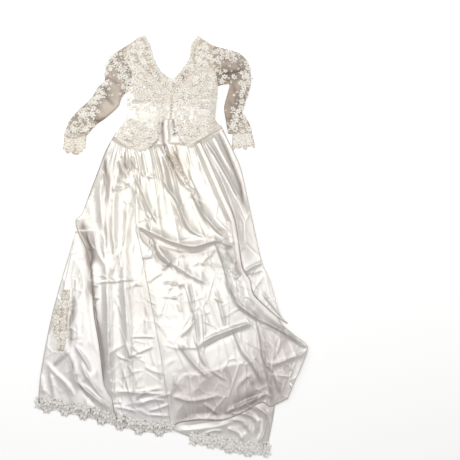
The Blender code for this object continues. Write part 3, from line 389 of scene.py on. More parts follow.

# The fifth value of each crease in these tables is painted shade along it.
SKIRT_CREASES = table(Crease,
    (((-280, -86), (-318, -166), (-342, -250), (-374, -350), (-400, -440)), -4, 9, 12, 0.85),
    (((-318, -196), (-306, -260), (-288, -340), (-290, -440)), 6, 5, 9, 0.5),
    (((-280, -105), (-325, -205), (-295, -375), (-285, -505), (-260, -705)), 7, 9, 34, 0.2),
    (((-296, -190), (-302, -300), (-292, -400)), -4, 16, 8, 0.45),
    # These three rows paint the shadow of the left gore's rolled edge where it laps over the side gore.
    (((-410, -508), (-382, -578), (-352, -648), (-336, -730)), -5, 30, 26, 1.0),
    (((-368, -640), (-348, -720), (-334, -800), (-330, -880)), -4, 20, 12, 0.95),
    (((-328, -800), (-312, -900), (-280, -1030), (-256, -1140), (-250, -1235)), -5, 10, 18, 0.8),
    (((-344, -700), (-322, -800), (-300, -930), (-262, -1090), (-230, -1235)), 8, 6, 22),
    (((-255, -790), (-245, -915), (-235, -1040), (-220, -1165), (-200, -1280),
      (-190, -1340)), 7, 22, 7, 0.18),
    (((-190, -790), (-165, -915), (-145, -1040), (-130, -1200), (-110, -1350)), 5, 24, 6, 0.12),
    (((-188, -186), (-166, -285), (-185, -345)), 6, 8, 22, 0.15),
    (((-270, -365), (-225, -356), (-185, -340)), 7, 12, 10, 0.1),
    (((-262, -250), (-228, -262), (-196, -300)), -6, 20, 18, 0.34),
    (((-236, -190), (-224, -236), (-200, -262)), 5, 8, 9, 0.3),
    (((-256, -216), (-240, -252), (-238, -300)), 4, 6, 7, 0.26),
    (((-218, -214), (-208, -244), (-182, -262)), -4, 6, 8, 0.34),
    (((-272, -362), (-250, -334), (-226, -322), (-206, -344), (-186, -330)), 4, 6, 7, 0.22),
    (((-172, -280), (-118, -392), (-72, -488), (-40, -540)), 10, 6, 20, 0.3),
    (((-182, -330), (-130, -430), (-92, -520), (-70, -590)), -5, 12, 9, 0.28),
    (((-200, -185), (-158, -252), (-120, -292), (-48, -306)), 5, 6, 16, 0.1),
    (((-90, -125), (-46, -250), (-25, -325), (45, -430), (100, -555), (190, -600)), 12, 7, 26, 0.34),
    (((-62, -140), (6, -235), (62, -322), (96, -352)), 8, 8, 20, 0.3),
    (((20, -170), (48, -230), (72, -300)), -5, 14, 8, 0.85),
    (((-38, -96), (-26, -150), (6, -215)), -3, 10, 8, 0.9),
    (((30, -440), (62, -520), (84, -560)), -4, 8, 16, 0.3),
    (((104, -372), (160, -478), (215, -548), (276, -606)), 12, 8, 24, 0.34),
    (((78, -350), (118, -372), (110, -400)), 6, 9, 9, 0.22),
    (((84, -402), (120, -412), (170, -430)), -3, 12, 8, 0.1),
    (((125, -85), (185, -195), (250, -325), (295, -460), (325, -615), (340, -725)), 9, 7, 26, 0.28),
    (((175, -105), (250, -245), (335, -410), (372, -500)), 8, 8, 20, 0.26),
    (((225, -40), (270, -145), (300, -225), (338, -335), (352, -440)), -7, 15, 12, 0.9),
    (((60, -135), (75, -245), (115, -345), (140, -410), (160, -490), (215, -580)), 6, 20, 7, 0.16),
    (((-145, -535), (-60, -580), (20, -615), (120, -640), (210, -615), (284, -610)), 15, 9, 30, 0.3),
    (((-136, -548), (-80, -598), (-30, -640), (60, -668), (150, -665), (215, -640)), -6, 26, 10, 0.32),
    (((-60, -600), (-40, -655), (5, -700), (80, -750), (140, -785), (196, -812)), 10, 12, 26, 0.24),
    (((-140, -548), (-104, -604), (-48, -664)), -6, 12, 14, 0.4),
    (((-60, -660), (-30, -700), (24, -736)), -6, 16, 10, 0.62),
    (((-115, -690), (-65, -685)), 5, 6, 8, 0.2),
    (((-20, -745), (25, -705)), 6, 9, 8, 0.3),
    (((-80, -806), (-48, -776), (-16, -760)), 4, 6, 9, 0.12),
    (((150, -690), (190, -664), (230, -650)), 5, 8, 14, 0.2),
    (((155, -725), (180, -688), (212, -666)), 5, 12, 8, 0.12),
    (((215, -600), (255, -705), (290, -830), (312, -872)), 9, 6, 14, 0.36),
    (((262, -640), (300, -690), (330, -760)), -7, 14, 26, 0.62),
    (((250, -618), (290, -632), (318, -612)), 8, 8, 8, 0.3),
    (((300, -790), (340, -760), (392, -730), (440, -706)), 8, 10, 12, 0.1),
    (((352, -770), (400, -768), (440, -752)), -4, 8, 7, 0.26),
    (((-345, -535), (-318, -655), (-275, -725)), 5, 18, 7, 0.14),
    (((-316, -806), (-215, -797), (-128, -788)), 4, 5, 8, 0.16),
    (((-188, -640), (-230, -720), (-262, -780)), 4, 26, 10, 0.2),
    (((-250, -115), (-268, -195), (-275, -300)), 5, 7, 10, 0.16),
    (((-205, -105), (-225, -175), (-216, -240)), 5, 8, 8, 0.18),
    (((-165, -105), (-166, -170)), 5, 6, 8, 0.12),
    (((-135, -105), (-142, -195), (-130, -280)), 6, 7, 9, 0.18),
    (((-120, -105), (-95, -195), (-78, -270)), 6, 8, 8, 0.16),
    (((70, -125), (85, -225), (95, -330)), 5, 7, 9, 0.14),
    (((110, -115), (130, -195), (142, -262)), 5, 8, 8, 0.14),
    (((155, -85), (215, -185), (290, -325), (330, -420)), 7, 8, 14, 0.22),
    (((195, -60), (250, -175), (308, -290)), 7, 8, 10, 0.26),
    (((-335, -815), (-300, -818)), 4, 5, 5, 0.3),
    (((-330, -870), (-290, -874)), 4, 5, 5, 0.3),
    (((-414, -850), (-410, -920), (-412, -1000), (-404, -1090)), -4, 9, 15, 0.85),
    (((-468, -1158), (-435, -1127), (-400, -1098)), 6, 7, 8, 0.42),
    (((-405, -1100), (-385, -1145), (-360, -1220), (-300, -1270), (-230, -1320),
      (-170, -1370)), 9, 12, 7, 0.34),
    (((-350, -1140), (-320, -1200), (-250, -1280), (-195, -1335), (-145, -1385)), 7, 10, 7, 0.28),
    (((-395, -1120), (-372, -1190), (-330, -1262), (-270, -1320)), -5, 8, 8, 0.36),
    (((-380, -1075), (-328, -1140), (-305, -1185)), 6, 10, 7, 0.24),
    (((-500, -1145), (-460, -1185), (-400, -1235), (-365, -1285)), 5, 16, 7, 0.22),
    (((-520, -1195), (-495, -1275)), 4, 7, 7, 0.24),
    (((-480, -1190), (-462, -1240), (-452, -1290)), 5, 8, 8, 0.24),
    (((-140, -1040), (-90, -1038), (-40, -1040)), 3, 4, 5, 0.2),
    (((-160, -1130), (-105, -1105), (-45, -1080)), 4, 5, 7, 0.18),
    (((-140, -1075), (-105, -1105)), 3, 5, 5, 0.16),
    (((-210, -1260), (-120, -1265), (25, -1275)), 5, 10, 5, 0.2),
    (((-112, -1292), (-60, -1262), (-6, -1250)), 5, 8, 8, 0.22),
    (((-104, -1318), (-40, -1296), (14, -1300)), 4, 7, 7, 0.16),
    (((-50, -1355), (35, -1360)), 3, 5, 5, 0.14),
    (((-15, -805), (40, -808), (84, -832)), -4, 6, 9, 0.42),
    (((-15, -866), (20, -868), (65, -870)), 3, 5, 5, 0.28),
    (((105, -795), (125, -890), (128, -940)), 6, 12, 6, 0.2),
    (((220, -825), (246, -915), (268, -1000)), 5, 7, 12, 0.18),
    (((70, -1040), (120, -985), (138, -930)), 6, 12, 7, 0.26),
    (((60, -1060), (92, -1102), (140, -1158), (194, -1205)), 7, 8, 14, 0.34),
    (((135, -925), (146, -1040), (165, -1125), (198, -1180)), 6, 8, 10, 0.24),
    (((70, -1085), (145, -1085)), 3, 6, 6, 0.14),
    (((150, -1078), (205, -1040), (305, -1003), (382, -980)), 12, 12, 9, 0.16),
    (((168, -1090), (240, -1052), (330, -1016)), -4, 12, 8, 0.3),
    (((265, -790), (305, -865), (340, -915), (425, -970), (505, -1010), (620, -1085)), 12, 8, 24, 0.42),
    (((295, -995), (340, -1100), (382, -1150), (424, -1232)), 8, 7, 12, 0.24),
    (((400, -950), (420, -1040), (432, -1125), (456, -1235), (462, -1320)), 8, 6, 10, 0.3),
    (((435, -1140), (470, -1185), (502, -1275)), 8, 9, 7, 0.18),
    (((436, -1166), (535, -1132), (615, -1102)), 6, 12, 8, 0.16),
    (((330, -1235), (368, -1198), (384, -1240)), 5, 7, 9, 0.2),
    (((45, -1280), (115, -1300), (175, -1295), (235, -1280)), 5, 8, 8, 0.2),
    (((175, -1310), (240, -1355)), 4, 7, 7, 0.16),
    (((40, -1275), (90, -1202), (175, -1198), (255, -1168), (360, -1146)), 3, 44, 7, 0.3),
    (((44, -1390), (160, -1352), (256, -1352), (340, -1330), (430, -1296)), -5, 22, 26, 0.36),
    (((265, -1350), (330, -1318), (385, -1297), (446, -1270)), 8, 10, 8, 0.3),
    (((300, -1330), (360, -1290), (420, -1280)), -5, 12, 16, 0.4),
    (((385, -1080), (398, -1150), (405, -1210)), 4, 6, 6, 0.18),
    (((425, -840), (485, -915), (540, -980)), 6, 7, 8, 0.26),
)


def press_marks(seed: int, count: int) -> tuple[Crease, ...]:
    """Short sharp marks of folding, each with a little painted shade, spread over the lower skirt.

    Args:
        seed: Seed of their places.
        count: How many there are.

    Returns:
        The creases.
    """
    dice = np.random.default_rng(seed)
    marks = []
    for _ in range(count):
        x, y = dice.uniform(-500.0, 560.0), dice.uniform(-1390.0, -520.0)
        length = dice.uniform(34.0, 120.0)
        turn = math.radians(dice.choice((-90.0, -78.0, -62.0, -20.0, 18.0)) + dice.uniform(-14.0, 14.0))
        bend = dice.uniform(-0.10, 0.10) * length
        run = np.array((math.cos(turn), math.sin(turn))) * length
        side = np.array((-run[1], run[0])) / length * bend
        path = tuple(tuple(np.array((x, y)) + share * run + sway * side)
                     for share, sway in ((0.0, 0.0), (0.5, 1.0), (1.0, 0.0)))
        reach = dice.uniform(3.6, 8.0, 2)
        # each mark darkens the cloth along it with painted shade
        marks.append(Crease(path, dice.uniform(1.2, 3.0), reach[0], reach[1], dice.uniform(0.04, 0.18)))
    return tuple(marks)


PRESS_MARKS = press_marks(17, 120)

FLAP_CREASES = table(Crease,
    (((70, -1416), (150, -1412), (240, -1398), (300, -1384)), 6, 14, 12, 0.1),
    (((90, -1398), (180, -1384), (262, -1384)), -4, 8, 10, 0.55),
    (((176, -1432), (220, -1418), (262, -1420)), 5, 6, 8, 0.34),
    (((392, -1322), (436, -1352), (430, -1420), (398, -1470)), 9, 8, 12, 0.34),
    (((330, -1350), (372, -1356), (404, -1388), (392, -1430)), 8, 9, 8, 0.3),
    (((296, -1376), (336, -1380), (362, -1412)), 6, 7, 9, 0.26),
    (((276, -1408), (322, -1424), (344, -1462)), 7, 9, 8, 0.24),
    (((352, -1334), (396, -1346), (420, -1376)), -4, 6, 7, 0.4),
    (((340, -1400), (370, -1436), (366, -1476)), -4, 6, 7, 0.34),
    (((430, -1330), (452, -1390), (446, -1440)), 6, 8, 8, 0.24),
)

# Painted shade, mostly: the mauve lower right, where the train faces away from the light, and the shaded
# hollows of the folds; the warm patch and the two bluish ones are tints of the satin.
SKIRT_CASTS = table(Cast,
    (260, -1285, 240, 112, (0.85, 0.81, 0.82), 0.34),
    (480, -1130, 120, 140, (0.93, 0.9, 0.9), 0.2),
    (330, -960, 90, 60, (0.96, 0.97, 0.97), 0.16),
    (-340, -1150, 180, 220, (0.96, 0.965, 1.0), 0.03),
    (-60, -1330, 120, 70, (0.94, 0.95, 1.0), 0.06),
    (-60, -420, 420, 460, (1.0, 0.985, 0.94), 0.0),
    (230, -700, 90, 70, (0.93, 0.94, 0.945), 0.14),
    (-214, -228, 44, 40, (0.86, 0.83, 0.82), 0.2),
    (-250, -300, 34, 26, (0.9, 0.88, 0.87), 0.14),
    (20, -220, 44, 90, (0.92, 0.86, 0.8), 0.32),
    (360, -560, 60, 260, (0.97, 0.965, 0.96), 0.1),
    (-100, -880, 60, 90, (0.97, 0.97, 0.96), 0.18),
)

PLACKET_CREASES = table(Crease,
    (((-50, 30), (-44, -40), (-32, -160)), -2, 13, 10, 1.0),
    (((6, 26), (12, -30), (16, -84)), -2, 9, 7, 1.0),
    (((-22, 30), (-16, -50), (-6, -160)), 3, 7, 9, 0.55),
    (((32, 30), (38, -50), (42, -150)), 2, 8, 8, 0.4),
    (((-64, 30), (-66, -50), (-74, -150)), 2, 8, 8, 0.5),
)

BODICE_CREASES = table(Crease,
    (((-205, 106), (-168, 92), (-128, 100), (-104, 116)), 8, 9, 16, 0.42),
    (((-214, 66), (-180, 64), (-150, 88)), 4, 8, 8, 0.2),
    (((102, 124), (124, 146), (148, 170)), 6, 6, 9, 0.36),
    (((150, 116), (180, 134), (206, 140)), 5, 7, 9, 0.3),
    (((160, 84), (188, 96), (212, 92)), 5, 8, 8, 0.3),
    (((104, 60), (130, 88), (152, 98)), 5, 6, 9, 0.24),
    (((120, 62), (168, 70), (216, 44)), 7, 7, 12, 0.4),
    (((-190, 250), (-150, 232), (-124, 180)), 5, 12, 14, 0.12),
    (((-150, 236), (-128, 190), (-100, 160)), 4, 8, 8, 0.12),
    (((150, 250), (170, 210), (168, 170)), 4, 9, 9, 0.1),
    (((-182, 40), (-160, -10), (-150, -60)), 3, 12, 12, 0.05),
    (((60, 20), (78, -40), (70, -90)), 3, 9, 9, 0.08),
    # painted shade along the centre seam, round the buttons
    (((-5, 160), (-5, 90), (-5, 10)), -0.6, 8, 8, 0.75),
)

SLEEVE_LEFT_CREASES = table(Crease,
    (((-345, 236), (-300, 222), (-262, 190)), -7, 14, 10, 0.55),
    (((-380, 190), (-330, 176), (-276, 118)), 6, 10, 14, 0.1),
    (((-356, 150), (-322, 120), (-290, 84)), -5, 12, 12, 0.55),
    (((-420, 110), (-380, 92), (-330, 40)), 6, 9, 12, 0.15),
    (((-440, 84), (-400, 60), (-360, 12)), -5, 10, 10, 0.4),
    (((-300, 330), (-286, 280), (-262, 240)), 4, 10, 14, 0.16),
    (((-330, 306), (-310, 260), (-284, 216)), -4, 10, 10, 0.24),
    (((-486, 40), (-450, 10), (-410, -30)), 5, 8, 10, 0.16),
    (((-410, 22), (-372, 2), (-330, 6), (-300, 40)), -5, 7, 8, 0.6),
)

SLEEVE_RIGHT_CREASES = table(Crease,
    (((226, 270), (268, 262), (318, 272), (376, 300)), -12, 12, 14, 0.85),
    (((220, 300), (270, 300), (330, 316), (384, 336)), 10, 10, 18, 0.12),
    (((260, 236), (300, 230), (352, 240)), 6, 10, 10, 0.2),
    (((240, 380), (262, 340), (300, 318)), -5, 12, 10, 0.3),
    (((300, 216), (318, 150), (316, 80)), -5, 10, 12, 0.4),
    (((330, 230), (350, 170), (340, 100)), 5, 8, 12, 0.1),
    (((276, 120), (304, 60), (310, 0)), 5, 10, 8, 0.24),
    (((268, 20), (300, 6), (340, 20)), -4, 8, 8, 0.34),
)

# The dark ovals are painted shadow in the gaps of the neck lace; the last patch is a pink tint of the net.
ILLUSION_CASTS = table(Cast,
    (26, 232, 8, 16, (0.5, 0.45, 0.42), 1.0),
    (46, 250, 8, 13, (0.5, 0.45, 0.42), 1.0),
    (62, 274, 9, 12, (0.5, 0.45, 0.42), 1.0),
    (0, 206, 7, 10, (0.6, 0.55, 0.5), 1.0),
    (48, 216, 28, 24, (1.0, 0.87, 0.83), 0.0),
)

# Painted shade in the sleeve's folds, with a faint warm tint.
SLEEVE_LEFT_CASTS = table(Cast,
    (-330, 160, 60, 50, (0.86, 0.86, 0.87), 0.16),
    (-344, 6, 46, 17, (0.82, 0.79, 0.76), 0.42),
    (-400, 40, 70, 70, (0.97, 0.95, 0.92), 0.06),
)

# Painted shade: the dark fold under the puff and the lower sleeve.
SLEEVE_RIGHT_CASTS = table(Cast,
    (280, 256, 100, 30, (0.78, 0.76, 0.75), 0.46),
    (290, 90, 60, 170, (0.82, 0.79, 0.76), 0.34),
)


class ClothGrid:
    """A piece of cloth as a dense grid over its cut, with a height, a painted shade and a colour at each
    point.
    """

    ROUND = 7.0      # reach of a folded edge's rounding
    TUCK = (20.0, 46.0)
    TURN = 4.0       # how far the turned edge goes in under the cloth
    RIM = 0.46       # painted shade along a folded edge

    def __init__(self, name: str, xy: Array, floor: float | Array, borders: tuple[Border, ...],
                 lift: float) -> None:
        """Start a flat piece.

        Args:
            name: The piece's name.
            xy: Its grid of points in millimetres.
            floor: The level of its underside.
            borders: How its top, bottom, left and right edges end.
            lift: How high the cloth stands over its floor between the edges.
        """
        self.name = name
        self.xy = xy
        self.floor = np.zeros(xy.shape[:2]) + floor
        self.borders = borders
        self.rise = np.zeros(xy.shape[:2]) + lift
        self.shade = np.zeros(xy.shape[:2])
        self.cast = np.ones((*xy.shape[:2], 3))
        self.lace = np.ones(xy.shape[:2])
        self.wall = CLOTH
        across = np.hypot(*np.moveaxis(np.diff(xy, axis=1), -1, 0))
        down = np.hypot(*np.moveaxis(np.diff(xy, axis=0), -1, 0))
        self.from_left = np.pad(np.cumsum(across, axis=1), ((0, 0), (1, 0)))
        self.from_right = self.from_left[:, -1:] - self.from_left
        self.from_top = np.pad(np.cumsum(down, axis=0), ((1, 0), (0, 0)))
        self.from_bottom = self.from_top[-1:] - self.from_top
        rows, columns = xy.shape[:2]
        self.v, self.u = np.meshgrid(np.linspace(0, 1, rows), np.linspace(0, 1, columns), indexing="ij")

    def distances(self) -> tuple[Array, ...]:
        """Distance of each point to the top, bottom, left and right edge."""
        return self.from_top, self.from_bottom, self.from_left, self.from_right

    def press(self, creases: Sequence[Crease]) -> None:
        """Press a table of creases into the cloth."""
        for crease in creases:
            crease.press(self.xy, self.rise, self.shade)

    def tint(self, casts: Sequence[Cast]) -> None:
        """Lay a table of soft colours and painted shade over the cloth."""
        for cast in casts:
            cast.tint(self.xy, self.cast, self.shade)

    def crumple(self, seed: int, sizes: Sequence[Pair], mask: float | Array = 1.0) -> None:
        """Add fine sharp creases that wander over the cloth.

        Args:
            seed: Seed of the noise.
            sizes: Rows of the spacing of the creases and their height.
            mask: Where they show, from 0 to 1.
        """
        noise, bend = Noise(seed), Noise(seed + 1)
        x, y = self.xy[..., 0], self.xy[..., 1]
        for spacing, height in sizes:
            wander = 0.7 * bend.at(x / spacing / 2.3 + 5.0, y / spacing / 2.3)
            ridge = 1.0 - 2.2 * np.abs(noise.at(x / spacing + wander, 0.62 * y / spacing - wander))
            self.rise += mask * height * ridge

    def rim_shade(self) -> Array:
        """Painted shade along the folded edges, where the cloth rolls over."""
        total = np.zeros(self.xy.shape[:2])
        for border, distance in zip(self.borders, self.distances()):
            if border is Border.FOLDED:
                total += self.RIM * np.exp(-(distance / 5.5)**2)
        return total

    def heights(self) -> Array:
        """The level of the cloth's outer side at each point."""
        total = np.maximum(self.rise, 0.0)
        for border, distance in zip(self.borders, self.distances()):
            if border is Border.FOLDED:
                inward = np.clip(1.0 - distance / self.ROUND, 0.0, 1.0)
                total = total * np.sqrt(1.0 - inward**2)
            elif border is Border.TUCKED:
                total = total * smooth_step(distance, *self.TUCK)
            else:
                total = total - np.minimum(1.2 * np.exp(-(distance / 3.5)**2), total)
        return self.floor + self.wall + total

    def facet(self, seed: int, spacing: float, stretch: float, height: float, tone: float,
              where: Array | float = 1.0) -> None:
        """Add the sharp creases and flat facets that cloth keeps from being folded away, with painted shade
        on the facets and a painted highlight along the creases.

        Args:
            seed: Seed of their places.
            spacing: About how wide a facet is.
            stretch: How many times longer than wide it is.
            height: How high the creases between facets stand.
            tone: How much painted shade the darkest facet gets.
            where: Where the cloth has them, as a share.
        """
        dice = np.random.default_rng(seed)
        x, y = self.xy[..., 0], self.xy[..., 1] / stretch
        count = int(1300.0 * 1500.0 / stretch / spacing**2)
        first, second = np.full(x.shape, 1e4), np.full(x.shape, 1e4)
        own = np.zeros(x.shape)
        places = dice.uniform(-650, 650, count), dice.uniform(-1500, 0, count) / stretch
        for across, down, level in zip(*places, dice.uniform(0, 1, count)):
            far = np.hypot(x - across, y - down)
            own = np.where(far < first, level, own)
            second = np.minimum(second, np.maximum(first, far))
            first = np.minimum(first, far)
        gap = second - first
        patchy = smooth_step(Noise(seed).at(x / 150.0, y / 150.0), -0.55, 0.05) * where
        self.rise += height * np.exp(-gap / 4.5) * patchy
        # painted highlight: the painted shade is taken off along the creases
        self.shade *= 1.0 - 0.7 * np.exp(-gap / 4.0) * patchy
        # painted shade that differs from facet to facet, for facets tilted to the light in different ways
        self.shade += tone * (0.35 + (own - 0.35) * smooth_step(gap, 0.0, 16.0)) * patchy

    def slope(self) -> Array:
        """How steep the cloth is at each point, as a rise over a run."""
        levels = self.heights()
        across = np.gradient(levels, axis=1) / np.maximum(np.gradient(self.from_left, axis=1), 0.2)
        down = np.gradient(levels, axis=0) / np.maximum(np.gradient(self.from_top, axis=0), 0.2)
        return np.hypot(across, down)

    def level_at(self, places: Array) -> Array:
        """The level of the cloth's outer side at other points, from the nearest point of the grid.

        Args:
            places: The points in millimetres.

        Returns:
            The level at each.
        """
        low, high = places.min(axis=0) - 12.0, places.max(axis=0) + 12.0
        near = np.all((self.xy > low) & (self.xy < high), axis=-1)
        known, levels = self.xy[near], self.heights()[near]
        found = [levels[np.argmin(((known - place)**2).sum(axis=1))] for place in places]
        return np.array(found)

    def mesh(self, turned: bool = True) -> Mesh:
        """The cloth as a shell.

        Args:
            turned: Whether its edges are turned down and in under it.

        Returns:
            The mesh.
        """
        rows, columns = self.xy.shape[:2]
        start = rows * columns
        index = np.arange(start).reshape(rows, columns)
        corners = (index[:-1, :-1], index[1:, :-1], index[1:, 1:], index[:-1, 1:])
        faces = np.stack(corners, axis=-1).reshape(-1, 4)
        points, kept = to_model(self.xy, self.heights()), index.reshape(-1)
        if turned:
            rim = np.concatenate([index[:, 0], index[-1, 1:], index[-2::-1, -1], index[0, -2:0:-1]])
            outer = self.xy.reshape(-1, 2)[rim]
            run = np.roll(outer, -1, axis=0) - np.roll(outer, 1, axis=0)
            inward = np.column_stack([-run[:, 1], run[:, 0]])
            inward *= self.TURN / np.maximum(np.hypot(*inward.T), 1e-6)[:, None]
            low = self.floor.reshape(-1)[rim]
            points = np.vstack([points, to_model(outer, low), to_model(outer + inward, low + 0.2)])
            count = len(rim)
            here = start + np.arange(count)
            after = start + (np.arange(count) + 1) % count
            side = np.stack([rim, here, after, rim[after - start]], axis=-1)
            under = np.stack([here, count + here, count + after, after], axis=-1)
            faces = np.vstack([faces, side, under])
            kept = np.concatenate([kept, rim, rim])
        shade = np.clip(self.shade + self.rim_shade(), 0.0, 1.0)
        grain = np.stack([self.from_left * MM, self.from_top * MM], axis=-1)
        made = sheet_mesh(self.name, points, faces.tolist(), shade.reshape(-1)[kept],
                          self.lace.reshape(-1)[kept], self.cast.reshape(-1, 3)[kept],
                          grain.reshape(-1, 2)[kept])
        made.shade_smooth()
        return made


class ShaderSketch:
    """A node tree being drawn, with short ways to add nodes and join them."""

    def __init__(self, tree: NodeTree) -> None:
        """Start on an empty tree."""
        self.tree = tree

    def add(self, kind: str, settings: dict | None = None, **inputs: Value) -> Node:
        """Add a node.

        Args:
            kind: The node's type.
            settings: Its own properties.
            **inputs: Input sockets by name, with _ for a space: a value, or an output to join.

        Returns:
            The new node.
        """
        node = self.tree.nodes.new(kind)
        for key, value in (settings or {}).items():
            setattr(node, key, value)
        self.feed_all(node, **inputs)
        return node

    def feed_all(self, node: Node, **inputs: Value) -> None:
        """Feed inputs by name, with _ for a space."""
        for key, value in inputs.items():
            self.feed(node, key.replace("_", " "), value)

    def attribute(self, name: str) -> Node:
        """A node that reads a mesh attribute."""
        return self.add("ShaderNodeAttribute", {"attribute_name": name})

    def noise(self, place: Socket, scale: float, detail: float) -> Socket:
        """Noise over a place, from 0 to 1."""
        return self.add("ShaderNodeTexNoise", Vector=place, Scale=scale, Detail=detail).outputs["Fac"]

    def feed(self, node: Node, name: str | int, value: Value) -> None:
        """Join an output to an input, or set the input's value.

        Args:
            node: The input's node.
            name: The input's name or place.
            value: The output or the value.
        """
        socket = node.inputs[name]
        if isinstance(value, Socket):
            self.tree.links.new(value, socket)
        else:
            socket.default_value = value

    def math(self, operation: str, first: Value, second: Value = 0.0, third: Value = 0.0) -> Socket:
        """Add a Math node.

        Args:
            operation: What it does.
            first: Its first value, or the output that gives it.
            second: Its second.
            third: Its third.

        Returns:
            Its output.
        """
        node = self.add("ShaderNodeMath", {"operation": operation})
        for place, value in enumerate((first, second, third)):
            self.feed(node, place, value)
        return node.outputs[0]

    def mix(self, share: Value, first: Value, second: Value, blend: str = "MIX") -> Socket:
        """Add a colour Mix node.

        Args:
            share: How much of the second colour it takes.
            first: The first colour, or the output that gives it.
            second: The second colour.
            blend: How they are mixed.

        Returns:
            Its output.
        """
        node = self.add("ShaderNodeMix", {"data_type": "RGBA", "blend_type": blend})
        for place, value in ((0, share), (6, first), (7, second)):
            self.feed(node, place, value)
        return node.outputs[2]

    def clamp(self, value: Socket) -> Socket:
        """A value kept from 0 to 1."""
        return self.math("MINIMUM", self.math("MAXIMUM", value, 0.0), 1.0)

    def bump(self, strength: float, distance: float, height: Socket) -> Socket:
        """The normal of a relief."""
        node = self.add("ShaderNodeBump", Strength=strength, Distance=distance, Height=height)
        return node.outputs["Normal"]

    def group(self, tree: NodeTree, **inputs: Value) -> Node:
        """Place a node group with its own values."""
        return self.add("ShaderNodeGroup", {"node_tree": tree}, **inputs)


def new_group(name: str, inputs: Sequence[tuple[str, str, object]],
              outputs: Sequence[tuple[str, str]]) -> tuple[ShaderSketch, Node, Node]:
    """Start a shader node group.

    Args:
        name: The group's name.
        inputs: Rows of socket name, type and first value.
        outputs: Rows of socket name and type.

    Returns:
        The sketch, and the group's input and output nodes.
    """
    tree = bpy.data.node_groups.new(name, "ShaderNodeTree")
    for label, kind, value in inputs:
        tree.interface.new_socket(label, in_out="INPUT", socket_type=kind).default_value = value
    for label, kind in outputs:
        tree.interface.new_socket(label, in_out="OUTPUT", socket_type=kind)
    sketch = ShaderSketch(tree)
    return sketch, sketch.add("NodeGroupInput"), sketch.add("NodeGroupOutput")


FLOAT, COLOUR = "NodeSocketFloat", "NodeSocketColor"


def fold_shade_group() -> NodeTree:
    """Colour of cloth from its cast of tints and painted shade, mixed towards its deep colour by the painted
    shade in its folds.
    """
    sketch, given, result = new_group(
        "Fold Tone", [("Colour", COLOUR, (1, 1, 1, 1)), ("Deep Colour", COLOUR, (0.5, 0.45, 0.42, 1))],
        [("Colour", COLOUR)])
    cast = sketch.attribute("cast").outputs["Color"]
    tinted = sketch.mix(1.0, given.outputs["Colour"], cast, "MULTIPLY")
    share = sketch.math("MINIMUM", sketch.attribute("shade").outputs["Fac"], 1.0)
    sketch.feed(result, "Colour", sketch.mix(share, tinted, given.outputs["Deep Colour"]))
    return sketch.tree


def weave_group() -> NodeTree:
    """Height of a fine weave: long floats across the grain, with a little unevenness."""
    slub_stretch = (900.0, 60.0, 1.0)
    sketch, given, result = new_group(
        "Weave", [("Pitch", FLOAT, 0.001), ("Slub", FLOAT, 0.3)], [("Height", FLOAT), ("Slub", FLOAT)])
    place = sketch.add("ShaderNodeUVMap", {"uv_map": "grain"}).outputs["UV"]
    parts = sketch.add("ShaderNodeSeparateXYZ", Vector=place)
    turn = sketch.math("DIVIDE", NODE_TURN, given.outputs["Pitch"])
    warp, weft = [sketch.math("SINE", sketch.math("MULTIPLY", parts.outputs[axis], turn)) for axis in "XY"]
    stretch = sketch.add("ShaderNodeVectorMath", {"operation": "MULTIPLY"})
    sketch.feed(stretch, 0, place)
    sketch.feed(stretch, 1, slub_stretch)
    slub = sketch.noise(stretch.outputs[0], 1.0, 2.0)
    height = sketch.math("MULTIPLY_ADD", slub, given.outputs["Slub"], sketch.math("MULTIPLY", warp, weft))
    sketch.feed_all(result, Slub=slub, Height=height)
    return sketch.tree


def net_group() -> NodeTree:
    """Mask and height of a fine six-sided net."""
    contrast, level = -0.22, 0.34
    sketch, given, result = new_group(
        "Net", [("Pitch", FLOAT, 0.002), ("Thread", FLOAT, 0.28)], [("Mask", FLOAT), ("Height", FLOAT)])
    place = sketch.add("ShaderNodeTexCoord").outputs["Object"]
    parts = sketch.add("ShaderNodeSeparateXYZ", Vector=place)
    turn = sketch.math("DIVIDE", NODE_TURN, given.outputs["Pitch"])
    total = 0.0
    for degrees in (0.0, 60.0, 120.0):
        angle = math.radians(degrees)
        slant = sketch.math("MULTIPLY", parts.outputs["X"], math.cos(angle))
        slant = sketch.math("MULTIPLY_ADD", parts.outputs["Y"], math.sin(angle), slant)
        wave = sketch.math("COSINE", sketch.math("MULTIPLY", slant, turn))
        total = sketch.math("ADD", total, wave)
    height = sketch.clamp(sketch.math("MULTIPLY_ADD", total, contrast, level))
    mask = sketch.math("MINIMUM", sketch.math("DIVIDE", height, given.outputs["Thread"]), 1.0)
    sketch.feed_all(result, Mask=mask, Height=height)
    return sketch.tree


class Groups:
    """The shader groups that the finishes share, each made once."""

    def __init__(self) -> None:
        """Build every group."""
        self.tone = fold_shade_group()
        self.weave = weave_group()
        self.net = net_group()


def new_material(name: str) -> tuple[Material, ShaderSketch, Node]:
    """Make a material with only its shader and output.

    Args:
        name: The material's name.

    Returns:
        The material, its sketch and its shader node.
    """
    made = bpy.data.materials.new(name)
    made.use_nodes = True
    return made, ShaderSketch(made.node_tree), made.node_tree.nodes["Principled BSDF"]


